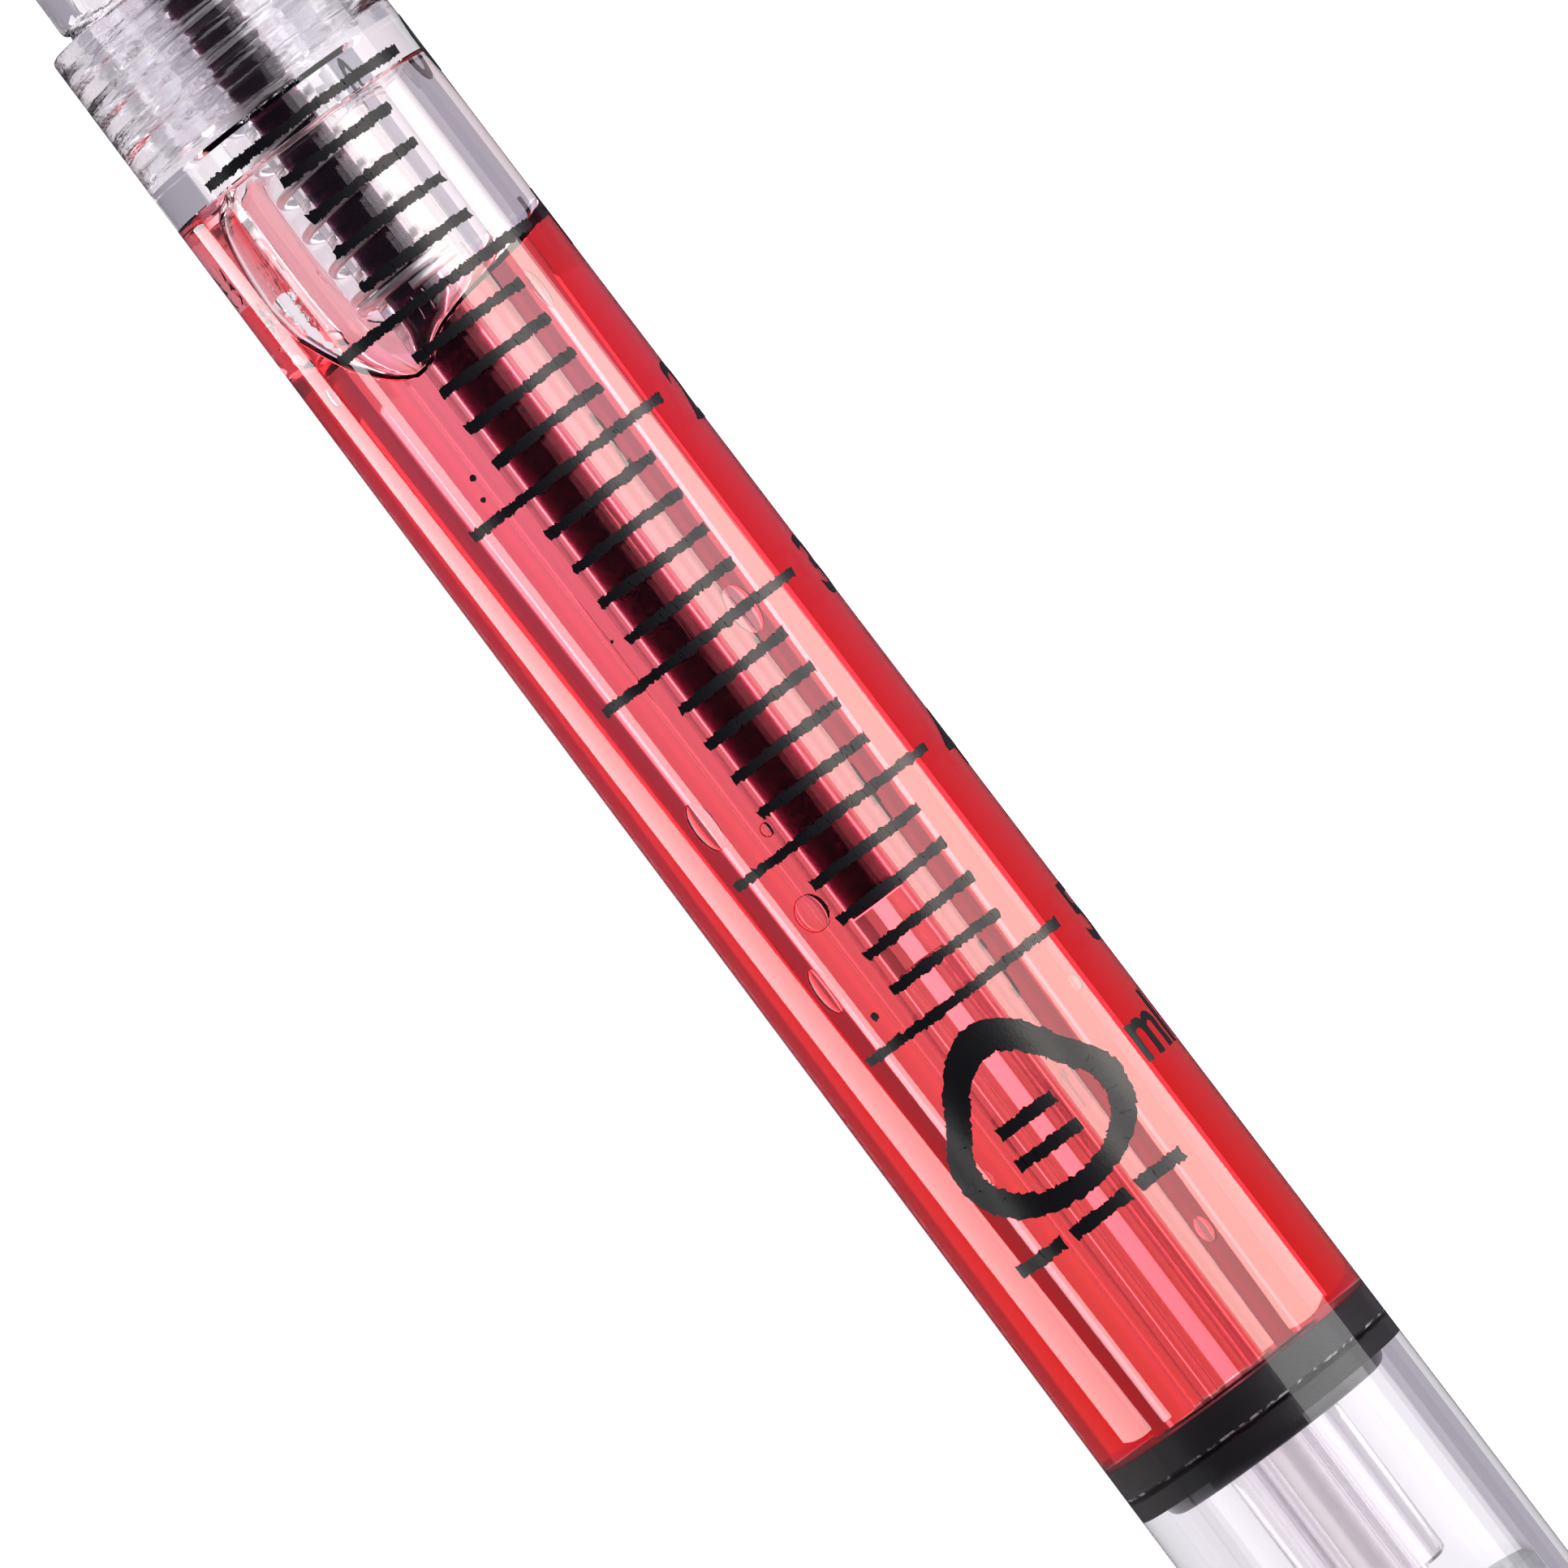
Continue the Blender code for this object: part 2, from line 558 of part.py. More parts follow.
def make_sleeve():
    """Fixed sleeve with ribs that hold the rotor's fins while it is back."""
    rear = SLEEVE_FRONT + SLEEVE_LENGTH
    sleeve = turned("cam_sleeve", [(SLEEVE_FRONT, SLEEVE_BORE), (SLEEVE_FRONT, SLEEVE_RADIUS),
                                   (rear, SLEEVE_RADIUS), (rear, SLEEVE_BORE)],
                    SLEEVE_FRONT, materials["white"])
    ribs = bmesh.new()
    for i in range(RIB_COUNT):
        sector(ribs, RIB_TIP_RADIUS, SLEEVE_BORE + RIB_ROOT, SLEEVE_FRONT - RIB_FRONT,
               rear - RIB_FRONT - END_GAP, 360 / RIB_COUNT * (i + 0.5), RIB_ANGLE)
    combine(sleeve, helper("ribs", ribs, SLEEVE_FRONT), "UNION")


def toothed(name, radius, inner, flat_back, tooth_back, mat, mirrored):
    """A tube end with saw teeth: flat at one end, teeth that reach tooth_back at the other."""
    shape = bmesh.new()
    per_tooth = SEGMENTS // TOOTH_COUNT
    columns = []
    for k in range(SEGMENTS):
        share = (k % per_tooth) / per_tooth
        height = TOOTH_HEIGHT * (abs(share * 2 - 1))
        edge = tooth_back + (height if mirrored else -height)
        angle = 2 * math.pi * k / SEGMENTS
        loop = ((flat_back, inner), (flat_back, radius), (edge, radius), (edge, inner))
        columns.append([shape.verts.new((flat_back - back, r * math.sin(angle), r * math.cos(angle)))
                        for back, r in loop])
    for k in range(SEGMENTS):
        here, there = columns[k], columns[(k + 1) % SEGMENTS]
        for i in range(4):
            j = (i + 1) % 4
            shape.faces.new((here[i], here[j], there[j], there[i]))
    return add_object(name, shape, flat_back, mat)


def make_rotor():
    rear = ROTOR_FRONT + ROTOR_LENGTH
    rotor = toothed("click_rotor", ROTOR_RADIUS, REFILL_BORE, ROTOR_FRONT, rear, materials["white"], False)
    fins = bmesh.new()
    for i in range(RIB_COUNT):
        sector(fins, ROTOR_RADIUS - RIB_ROOT, FIN_REACH, ROTOR_FRONT - FIN_FRONT, FIN_LENGTH,
               360 / RIB_COUNT * i, FIN_ANGLE)
    combine(rotor, helper("fins", fins, ROTOR_FRONT), "UNION")
    web_front = -ROTOR_LENGTH / 5
    web_rear = -ROTOR_LENGTH / 2
    web = rod_shape((ROTOR_RADIUS + REFILL_BORE) / 2, web_front, web_rear, SMALL_SEGMENTS)
    combine(rotor, helper("web", web, ROTOR_FRONT), "UNION")
    spigot = rod_shape(REFILL_BORE - ROTOR_SPIGOT_PLAY, ROTOR_SPIGOT_LENGTH, (web_front + web_rear) / 2,
                       SMALL_SEGMENTS)
    combine(rotor, helper("spigot", spigot, ROTOR_FRONT), "UNION")


def make_crown():
    toothed("click_crown", CROWN_RADIUS, CROWN_BORE, CROWN_REAR, CROWN_FRONT, materials["white"], True)


def make_plunger():
    """Cross-ribbed rod with a shoulder that stops on the end ring, and a round thumb plate on its end."""
    start = CROWN_REAR + RING_CLEARANCE
    shoulder_rear = start + ROD_SHOULDER_LENGTH
    plate_rear = BARREL_LENGTH + TAIL_LENGTH
    plate_front = plate_rear - PLATE_THICKNESS
    hub_front = plate_front - HUB_LENGTH
    rod_rear = hub_front + HUB_LENGTH / 2
    rod = turned("plunger_rod", [(start, 0), (start, ROD_SHOULDER_RADIUS), (shoulder_rear, ROD_SHOULDER_RADIUS),
                                 (shoulder_rear, 0)], start, materials["clear"])
    half = ROD_RIB_THICKNESS / 2
    reach = math.sqrt(ROD_RADIUS ** 2 - half ** 2)
    outline = []
    for quarter in range(4):
        turn = Matrix.Rotation(quarter * math.pi / 2, 2)
        outline += [turn @ Vector(corner) for corner in ((half, half), (half, reach), (-half, reach))]
    overlap = ROD_SHOULDER_LENGTH / 2
    cross = extruded(outline, -overlap, rod_rear - start - overlap)
    combine(rod, helper("cross", cross, start), "UNION")

    seat = ROD_RADIUS + RING_CLEARANCE
    seat_rear = rod_rear + END_GAP
    profile = [
        (seat_rear, 0), (seat_rear, seat), (hub_front, seat), (hub_front, seat + HUB_WALL),
        (plate_front, seat + HUB_WALL), (plate_front, PLATE_RADIUS - PLATE_ROUND),
        (plate_front + PLATE_ROUND, PLATE_RADIUS), (plate_rear - PLATE_ROUND, PLATE_RADIUS),
        (plate_rear, PLATE_RADIUS - PLATE_ROUND), (plate_rear, 0),
    ]
    turned("thumb_plate", profile, plate_rear, materials["clear"])


def make_end_ring():
    front = FLANGE_REAR - RING_THICKNESS
    outer = SLEEVE_SEAT - RING_CLEARANCE
    turned("end_ring", [(front, RING_BORE), (front, outer), (FLANGE_REAR, outer), (FLANGE_REAR, RING_BORE)],
           front, materials["white"])


for old in list(bpy.data.objects):
    bpy.data.objects.remove(old, do_unlink=True)

materials = {
    "clear": material("clear plastic", (0.92, 0.9, 0.93), 0.05, transmission=1.0, alpha=0.35),
    "liquid": material("red liquid", (0.85, 0.06, 0.05), 0.05, transmission=1.0),
    "rubber": material("black rubber", (0.02, 0.02, 0.025), 0.6),
    "steel": material("spring steel", (0.72, 0.74, 0.74), 0.25, metallic=1.0),
    "tube": material("refill tube", (0.9, 0.88, 0.86), 0.15, transmission=1.0),
    "ink": material("ink", (0.02, 0.015, 0.05), 0.3),
    "grease": material("grease", (0.85, 0.82, 0.7), 0.3, transmission=1.0),
    "nickel": material("nickel point", (0.7, 0.68, 0.62), 0.25, metallic=1.0),
    "frosted": material("frosted plastic", (0.75, 0.78, 0.8), 0.5, transmission=0.6),
    "white": material("white plastic", (0.85, 0.85, 0.83), 0.4),
    "cutter": material("cutter", (0.5, 0.5, 0.5), 0.5),
}

make_barrel()
make_liquid()
make_seals()
make_nose()
make_spring()
make_refill()
make_point()
make_rear_plug()
make_flange()
make_sleeve()
make_rotor()
make_crown()
make_plunger()
make_end_ring()
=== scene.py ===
"""A clear syringe-shaped ballpoint pen with red liquid round its refill, put together piece by piece."""
import math

import bpy
import numpy as np
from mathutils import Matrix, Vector, noise


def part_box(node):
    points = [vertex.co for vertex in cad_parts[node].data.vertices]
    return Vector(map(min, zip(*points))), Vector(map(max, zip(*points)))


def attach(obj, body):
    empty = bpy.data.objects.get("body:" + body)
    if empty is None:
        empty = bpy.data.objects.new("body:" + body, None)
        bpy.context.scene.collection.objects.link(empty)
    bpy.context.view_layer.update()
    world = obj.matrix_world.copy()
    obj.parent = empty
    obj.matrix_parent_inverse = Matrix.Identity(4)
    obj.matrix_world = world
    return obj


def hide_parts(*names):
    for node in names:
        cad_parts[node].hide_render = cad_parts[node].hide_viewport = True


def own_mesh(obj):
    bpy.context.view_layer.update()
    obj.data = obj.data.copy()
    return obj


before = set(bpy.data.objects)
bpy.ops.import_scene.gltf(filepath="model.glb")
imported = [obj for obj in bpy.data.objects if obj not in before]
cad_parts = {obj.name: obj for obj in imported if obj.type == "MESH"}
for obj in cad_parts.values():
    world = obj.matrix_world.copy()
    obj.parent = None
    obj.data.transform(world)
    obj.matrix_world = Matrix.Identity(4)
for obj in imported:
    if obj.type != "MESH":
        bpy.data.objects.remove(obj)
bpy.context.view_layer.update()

# ---- Barrel ---------------------------------------------------------------------------------------
# One clear styrene moulding: a drafted outer tube with a threaded mouth, a cross wall, and a thin guide
# tube down the middle that carries the refill. It is polished outside. Liquid wets the ring between.
# Places along the pen are in mm behind the barrel's mouth, and turns are in degrees from the top.

MM = 0.001
barrel_low, barrel_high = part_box("barrel")
front_face = barrel_high.x
axis_height = (barrel_low.z + barrel_high.z) / 2
barrel_length = 84.0
mouth_radius = 5.9
rear_radius = 6.27
wall_front = 1.02
wall_thinning = 0.02
guide_front_radius = 3.7
guide_rear_radius = 2.95
thread_bore = 4.95
thread_pitch = 1.6
thread_ends = (0.15, 6.25)
groove_depth = 0.24
cross_wall = (6.4, 8.1)
ring_rear = 67.9
wet_rear = 70.35
draw_mark_height = 0.012


def select_none():
    """Leaves edit mode and deselects everything."""
    if bpy.context.object and bpy.context.object.mode != "OBJECT":
        bpy.ops.object.mode_set(mode="OBJECT")
    bpy.ops.object.select_all(action="DESELECT")


def place(back, radius=0.0, turn=0.0):
    """A point that many mm behind the mouth, turned from the top towards the pen's right side."""
    angle = math.radians(turn)
    return Vector((front_face - back * MM, -radius * MM * math.sin(angle),
                   axis_height + radius * MM * math.cos(angle)))


def settle(obj, name, smooth=30):
    """Puts the place into the mesh, names the piece and smooths all but its sharp edges."""
    select_none()
    bpy.context.view_layer.objects.active = obj
    obj.select_set(True)
    bpy.ops.object.transform_apply(location=True, rotation=True, scale=True)
    obj.name = name
    obj.data.name = name
    bpy.ops.object.shade_smooth_by_angle(angle=math.radians(smooth))
    return obj


def turned(name, profile, steps=128, closed=True, smooth=30):
    """Draws half a section as (mm behind the mouth, radius in mm) and spins it round the pen's axis."""
    select_none()
    bpy.ops.mesh.primitive_plane_add(size=MM, location=place(*profile[0]))
    obj = bpy.context.object
    bpy.ops.object.mode_set(mode="EDIT")
    bpy.ops.mesh.merge(type="CENTER")
    loop = profile[1:] + ([profile[0]] if closed else [])
    here = place(*profile[0])
    for point in loop:
        there = place(*point)
        bpy.ops.mesh.extrude_vertices_move(TRANSFORM_OT_translate={"value": there - here})
        here = there
    bpy.ops.mesh.select_all(action="SELECT")
    bpy.ops.mesh.remove_doubles(threshold=1e-7)
    bpy.ops.mesh.spin(steps=steps, angle=2 * math.pi, center=place(0), axis=(1, 0, 0))
    bpy.ops.mesh.select_all(action="SELECT")
    bpy.ops.mesh.remove_doubles(threshold=1e-7)
    bpy.ops.mesh.normals_make_consistent(inside=False)
    bpy.ops.object.mode_set(mode="OBJECT")
    return settle(obj, name, smooth)


def read_points(obj):
    """A mesh's points, in metres, as rows of x, y and z."""
    points = np.empty(len(obj.data.vertices) * 3, np.float32)
    obj.data.vertices.foreach_get("co", points)
    return points.reshape(-1, 3).astype(float)


def write_points(obj, points):
    """Moves a mesh's points to new places."""
    obj.data.vertices.foreach_set("co", points.astype(np.float32).ravel())
    obj.data.update()


def round_the_axis(points):
    """mm behind the mouth, radius in mm and turn in degrees of each point."""
    back = (front_face - points[:, 0]) / MM
    up = (points[:, 2] - axis_height) / MM
    right = -points[:, 1] / MM
    return back, np.hypot(up, right), np.degrees(np.arctan2(right, up))


def off_the_axis(back, radius, turn):
    """Points from their mm behind the mouth, radius in mm and turn in degrees."""
    angle = np.radians(turn)
    return np.stack([front_face - back * MM, -radius * MM * np.sin(angle),
                     axis_height + radius * MM * np.cos(angle)], axis=1)


def outer_radius(back):
    """The outer tube's outside, in mm."""
    return mouth_radius + (rear_radius - mouth_radius) * back / barrel_length


def bore_radius(back):
    """The outer tube's inside, in mm."""
    share = (back - cross_wall[1]) / (barrel_length - cross_wall[1])
    return outer_radius(back) - wall_front + wall_thinning * share


def guide_radius(back):
    """The guide tube's outside, in mm."""
    share = (back - cross_wall[1]) / (ring_rear - cross_wall[1])
    return guide_front_radius + (guide_rear_radius - guide_front_radius) * share


def thread_ridge(back, turn, ends, flank, power, run_out):
    """Height of a thread's ridge, from 0 to 1, which fades away at the thread's two ends."""
    phase = (back / thread_pitch + turn / 360.0) % 1.0
    ridge = np.clip(1 - np.abs(phase - 0.5) * flank, 0, 1) ** power
    fade = np.clip(np.minimum(back - ends[0], ends[1] - back) / run_out, 0, 1)
    return ridge * fade


def face_place(face):
    """mm behind the mouth and radius in mm of a face's middle, and how far it faces outwards."""
    back, radius, _ = round_the_axis(np.array([face.center]))
    outward = face.normal.y * face.center.y + face.normal.z * (face.center.z - axis_height)
    return back[0], radius[0], outward


def link(material, output, target):
    """Joins one shader node's output to another's input."""
    material.node_tree.links.new(output, target)


def node(material, kind, **values):
    """A shader node; values are its sockets' values, by name with _ for a space."""
    made = material.node_tree.nodes.new(kind)
    for name, value in values.items():
        made.inputs[name.replace("_", " ")].default_value = value
    return made


def shader_of(name, colour, roughness, **values):
    """A new material with its Principled shader set."""
    material = bpy.data.materials.new(name)
    material.use_nodes = True
    shader = material.node_tree.nodes["Principled BSDF"]
    shader.inputs["Base Color"].default_value = (*colour, 1.0)
    shader.inputs["Roughness"].default_value = roughness
    for name, value in values.items():
        shader.inputs[name.replace("_", " ")].default_value = value
    material.diffuse_color = (*colour, 1.0)
    return material, shader


def grain(material, shader, scale, height, detail=2.0, stretch=(1, 1, 1)):
    """Fine unevenness of the surface, in metres high, from a noise in the piece's own place."""
    where = node(material, "ShaderNodeTexCoord")
    spread = node(material, "ShaderNodeMapping")
    spread.inputs["Scale"].default_value = stretch
    link(material, where.outputs["Object"], spread.inputs["Vector"])
    pattern = node(material, "ShaderNodeTexNoise", Scale=scale, Detail=detail)
    link(material, spread.outputs["Vector"], pattern.inputs["Vector"])
    bump = node(material, "ShaderNodeBump", Strength=1.0, Distance=height)
    link(material, pattern.outputs["Fac"], bump.inputs["Height"])
    link(material, bump.outputs["Normal"], shader.inputs["Normal"])


def set_ramp(ramp, first, last, between=()):
    """Gives a colour ramp its stops, each a position and a colour."""
    stops = ramp.color_ramp.elements
    for i, (position, colour) in enumerate((first, last)):
        stops[i].position = position
        stops[i].color = (*colour, 1)
    for position, colour in between:
        stops.new(position).color = (*colour, 1)


plastic_tint = (0.985, 0.965, 0.985)
clear_plastic, clear_shader = shader_of("clear styrene", plastic_tint, 0.0,
                                        IOR=1.56, Transmission_Weight=1.0)
grain(clear_plastic, clear_shader, 900, 0.0000015, 3.0, (0.12, 1, 1))
wet_plastic, wet_shader = shader_of("clear styrene against liquid", (1, 1, 1), 0.0,
                                    IOR=1.17, Transmission_Weight=1.0)
grain(wet_plastic, wet_shader, 700, 0.000004, 2.0, (0.1, 1, 1))
thread_plastic, thread_shader = shader_of("clear styrene, threaded", (0.88, 0.88, 0.91), 0.1,
                                          IOR=1.48, Transmission_Weight=1.0)
grain(thread_plastic, thread_shader, 1800, 0.00006, 5.0, (1, 0.22, 0.22))

thread_rows = [i * 0.1 for i in range(2, 63)]
bore_rows = sorted(np.linspace(8.4, 82, 31).tolist() + [ring_rear, wet_rear], reverse=True)
barrel_profile = [(0.0, 5.12), (0.0, 5.72), (0.06, 5.84), (0.2, outer_radius(0.2))]
barrel_profile += [(back, outer_radius(back)) for back in np.linspace(2, 82, 33).tolist()]
barrel_profile += [(83.8, outer_radius(83.8)), (83.94, 6.2), (84.0, 6.1), (84.0, bore_radius(84.0))]
barrel_profile += [(back, bore_radius(back)) for back in bore_rows]
barrel_profile += [(8.16, bore_radius(8.1) - 0.04), (8.1, bore_radius(8.1) - 0.12)]
barrel_profile += [(8.1, 3.85), (8.2, 3.72)]
barrel_profile += [(back, guide_radius(back)) for back in np.linspace(8.6, 67.7, 25).tolist()]
barrel_profile += [(67.9, 2.93), (67.9, 2.6), (77.75, 2.6), (77.95, 2.56), (78.1, 2.4), (78.1, 2.05),
                   (65.0, 2.05), (6.55, 2.66), (6.4, 2.8), (6.4, thread_bore)]
barrel_profile += [(back, thread_bore) for back in thread_rows[::-1]]
barrel_profile += [(0.1, 5.02)]
barrel = turned("clear_barrel", barrel_profile, 256)

points = read_points(barrel)
back, radius, turn = round_the_axis(points)
in_thread = (back > thread_ends[0]) & (back < thread_ends[1]) & (radius > 4.9) & (radius < 5.0)
groove = groove_depth * thread_ridge(back, turn, thread_ends, 3.4, 0.5, 1.2)
radius = np.where(in_thread, radius + groove, radius)
angles = np.radians(turn)
draw_marks = [noise.noise(Vector(spot))
              for spot in zip(np.cos(angles) * 2.4, np.sin(angles) * 2.4, back * 0.02)]
inside = (radius < 5.4) & (back > 8.3) & (back < 67)
radius = radius + np.where(inside, np.array(draw_marks) * draw_mark_height, 0)
write_points(barrel, off_the_axis(back, radius, turn))

for material in (clear_plastic, wet_plastic, thread_plastic):
    barrel.data.materials.append(material)
for face in barrel.data.polygons:
    back_here, radius_here, outward = face_place(face)
    bore_face = 8.09 < back_here < wet_rear and radius_here > 4.6 and outward < 0
    on_guide = 8.09 < back_here < ring_rear and 2.9 < radius_here < 4.6
    guide_face = on_guide and (outward > 0 or back_here < 8.2)
    wall_face = abs(back_here - cross_wall[1]) < 0.02 and radius_here > 3.8
    if bore_face or guide_face or wall_face:
        face.material_index = 1
    elif back_here < 6.45 and 4.8 < radius_here < 5.45 and outward < 0:
        face.material_index = 2
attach(barrel, "barrel_body")
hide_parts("barrel")

# ---- Coloured liquid -------------------------------------------------------------------------------
# Thin red oil that fills the ring between the outer tube and the guide tube. A large air bubble sits at
# the writing end and small ones cling to the walls; the liquid ends there in a rounded, shining edge.
# Where it touches plastic it has no surface of its own, and at the air it has one, marked free_edge.

film = 0.02
bubble_turns = (-71, 247)
bubble_rounding = 0.85
mm_per_degree = 4.3 * math.pi / 180


def liquid_material():
    """Clear red: the colour comes from the depth of liquid that light passes."""
    material, shader = shader_of("red liquid", (1, 1, 1), 0.0, IOR=1.33, Transmission_Weight=1.0)
    through = node(material, "ShaderNodeBsdfTransparent")
    edge = node(material, "ShaderNodeAttribute")
    edge.attribute_name = "free_edge"
    choose = node(material, "ShaderNodeMixShader")
    link(material, edge.outputs["Fac"], choose.inputs[0])
    link(material, through.outputs[0], choose.inputs[1])
    link(material, shader.outputs[0], choose.inputs[2])
    output = material.node_tree.nodes["Material Output"]
    link(material, choose.outputs[0], output.inputs["Surface"])
    dye = node(material, "ShaderNodeVolumeAbsorption", Color=(0.925, 0.05, 0.13, 1), Density=600)
    link(material, dye.outputs[0], output.inputs["Volume"])
    return material


red_liquid = liquid_material()
liquid_rows = np.linspace(cross_wall[1] + film, ring_rear - film, 24).tolist()
liquid_profile = [(back, bore_radius(back) - film) for back in liquid_rows]
liquid_profile += [(back, guide_radius(back) + film) for back in liquid_rows[::-1]]
liquid = turned("red_liquid", liquid_profile, 192)

front_edge = [(-71, 12.5), (-69.5, 11.2), (-67, 10.2), (-63.5, 9.3), (-59, 8.75), (-53, 8.4), (-48, 8.25),
              (230, 8.25), (238, 8.4), (243, 8.9), (246, 10.0), (247, 12.0)]
rear_edge = [(-71, 12.5), (-70, 13.3), (-66, 14.5), (-57, 15.7), (-50, 16.6), (-41, 17.4), (-34, 17.9),
             (-28, 18.2), (-23, 18.35), (-17, 18.3), (-12, 18.15), (-5, 17.6), (2, 17.3), (8, 17.2),
             (16, 17.0), (34, 16.8), (58, 16.6), (82, 16.3), (130, 16.1), (210, 15.9), (236, 15.2),
             (244, 14.0), (247, 12.0)]


def slow_ends(count):
    """Shares from 0 to 1 that lie closer together at both ends."""
    return 0.5 - 0.5 * np.cos(np.linspace(0, math.pi, count))


def air_space(columns, rows):
    """Places of a grid over the large bubble, with its thickness there, from 0 at its edge to 1.

    Between its seventh and eighth point the front edge runs along the cross wall and isn't rounded.
    """
    turns = bubble_turns[0] + (bubble_turns[1] - bubble_turns[0]) * slow_ends(columns)
    front = np.interp(turns, *zip(*front_edge))
    rear = np.interp(turns, *zip(*rear_edge))
    turn = np.repeat(turns[:, None], rows, axis=1)
    back = front[:, None] + (rear - front)[:, None] * slow_ends(rows)[None, :]
    rim = []
    for chain in (rear_edge, front_edge[:7], front_edge[7:]):
        along = np.linspace(chain[0][0], chain[-1][0], 400)
        rim += list(zip(along * mm_per_degree, np.interp(along, *zip(*chain))))
    rim = np.array(rim)
    distance = np.empty(turn.shape)
    for i in range(columns):
        for j in range(rows):
            step = rim - (turn[i, j] * mm_per_degree, back[i, j])
            distance[i, j] = math.sqrt((step ** 2).sum(axis=1).min())
    fill = np.sqrt(np.clip(1 - (1 - np.clip(distance / bubble_rounding, 0, 1)) ** 2, 0, 1))
    fill[:, 0] = 0
    back[:, 0] -= 0.04
    return turn, back, fill


def face_inwards(obj):
    """Turns all faces of a closed mesh towards its inside, as a hollow in the liquid has them."""
    bpy.ops.object.mode_set(mode="EDIT")
    bpy.ops.mesh.select_all(action="SELECT")
    bpy.ops.mesh.normals_make_consistent(inside=True)
    bpy.ops.object.mode_set(mode="OBJECT")
    return obj


def close_sheets(name, turn, back, fill):
    """Builds the bubble as two sheets that meet at its edge, facing inwards."""
    select_none()
    columns, rows = turn.shape
    bpy.ops.mesh.primitive_grid_add(x_subdivisions=columns - 1, y_subdivisions=rows - 1, size=MM)
    outer = bpy.context.object
    flat = np.round(read_points(outer) / MM, 5)
    order = np.lexsort((flat[:, 1], flat[:, 0]))
    bpy.ops.object.duplicate()
    inner = bpy.context.object
    half_gap = (bore_radius(back) - guide_radius(back)) / 2 - 2 * film
    centre = (bore_radius(back) + guide_radius(back)) / 2
    for sheet, side in ((outer, 1), (inner, -1)):
        points = read_points(sheet)
        points[order] = off_the_axis(back.ravel(), (centre + side * half_gap * fill).ravel(), turn.ravel())
        write_points(sheet, points)
    select_none()
    outer.select_set(True)
    inner.select_set(True)
    bpy.context.view_layer.objects.active = outer
    bpy.ops.object.join()
    bubble = bpy.context.object
    bpy.ops.object.mode_set(mode="EDIT")
    bpy.ops.mesh.select_all(action="SELECT")
    bpy.ops.mesh.remove_doubles(threshold=2e-7)
    bpy.ops.object.mode_set(mode="OBJECT")
    return settle(face_inwards(bubble), name)


def small_bubble(name, back, side, half_long, half_wide, half_deep):
    """A lens of air against the outer tube, side being its place to the pen's right, all in mm."""
    select_none()
    bpy.ops.mesh.primitive_uv_sphere_add(segments=40, ring_count=20, radius=1)
    lens = bpy.context.object
    ball = read_points(lens)
    behind = back + ball[:, 0] * half_long
    under = bore_radius(behind) - 3 * film - half_deep
    middle_turn = math.degrees(math.asin(0.93 * side / bore_radius(back)))
    around = middle_turn + np.degrees(ball[:, 1] * half_wide / under)
    write_points(lens, off_the_axis(behind, under + ball[:, 2] * half_deep, around))
    return settle(face_inwards(lens), name)


small_bubbles = [(32.9, 2.8, 1.1, 0.63, 0.15), (38.7, -3.6, 1.1, 0.56, 0.15),
                 (43.8, -2.3, 0.78, 0.69, 0.14), (46.5, -3.7, 1.03, 0.47, 0.14),
                 (40.2, -1.73, 0.31, 0.26, 0.12), (16.9, -4.9, 0.47, 0.3, 0.12),
                 (18.4, 3.9, 0.9, 0.3, 0.1), (28.0, 0.85, 1.7, 0.05, 0.04),
                 (31.2, -2.2, 2.6, 0.05, 0.04), (56.0, -3.2, 0.5, 0.4, 0.12),
                 (62.5, 2.6, 0.6, 0.35, 0.12), (52.0, 4.3, 0.4, 0.3, 0.1)]
cavities = [close_sheets("bubble", *air_space(170, 34))]
for i, sizes in enumerate(small_bubbles):
    cavities.append(small_bubble("bubble_%d" % i, *sizes))
for part in cavities + [liquid]:
    mark = part.data.attributes.new("free_edge", "FLOAT", "POINT")
    at_the_air = 0.0 if part == liquid else 1.0
    mark.data.foreach_set("value", np.full(len(part.data.vertices), at_the_air, np.float32))
select_none()
for part in cavities + [liquid]:
    part.select_set(True)
bpy.context.view_layer.objects.active = liquid
bpy.ops.object.join()
liquid.data.materials.clear()
liquid.data.materials.append(red_liquid)
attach(liquid, "barrel_body")
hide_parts("coloured_liquid")

# ---- Seals -----------------------------------------------------------------------------------------
# Two black rubber rings pushed onto the stub behind the liquid, which close its chamber. The first has a
# painted highlight on its rear rim, a patchy light grey, and the second has a rounded rear rim.

seal_play = 0.03
backing_play = 0.04
rim_radius = 0.6
rubber, rubber_shader = shader_of("black rubber", (0.012, 0.012, 0.014), 0.45)
grain(rubber, rubber_shader, 5000, 0.00001, 4.0)
# Painted highlight: the first seal's rear rim gets a patchy light grey in place of the light that catches
# that rim.
painted_rim_highlight, rim_highlight_shader = shader_of("scuffed rubber", (0.3, 0.3, 0.3), 0.5)
grain(painted_rim_highlight, rim_highlight_shader, 7000, 0.00002, 3.0)
rim_highlight_place = node(painted_rim_highlight, "ShaderNodeTexCoord")
rim_highlight_noise = node(painted_rim_highlight, "ShaderNodeTexNoise", Scale=2600, Detail=4.0)
rim_highlight_level = node(painted_rim_highlight, "ShaderNodeValToRGB")
set_ramp(rim_highlight_level, (0.47, (0.02, 0.02, 0.02)), (0.6, (0.75, 0.76, 0.76)))
link(painted_rim_highlight, rim_highlight_place.outputs["Object"], rim_highlight_noise.inputs["Vector"])
link(painted_rim_highlight, rim_highlight_noise.outputs["Fac"], rim_highlight_level.inputs[0])
link(painted_rim_highlight, rim_highlight_level.outputs[0], rim_highlight_shader.inputs["Base Color"])

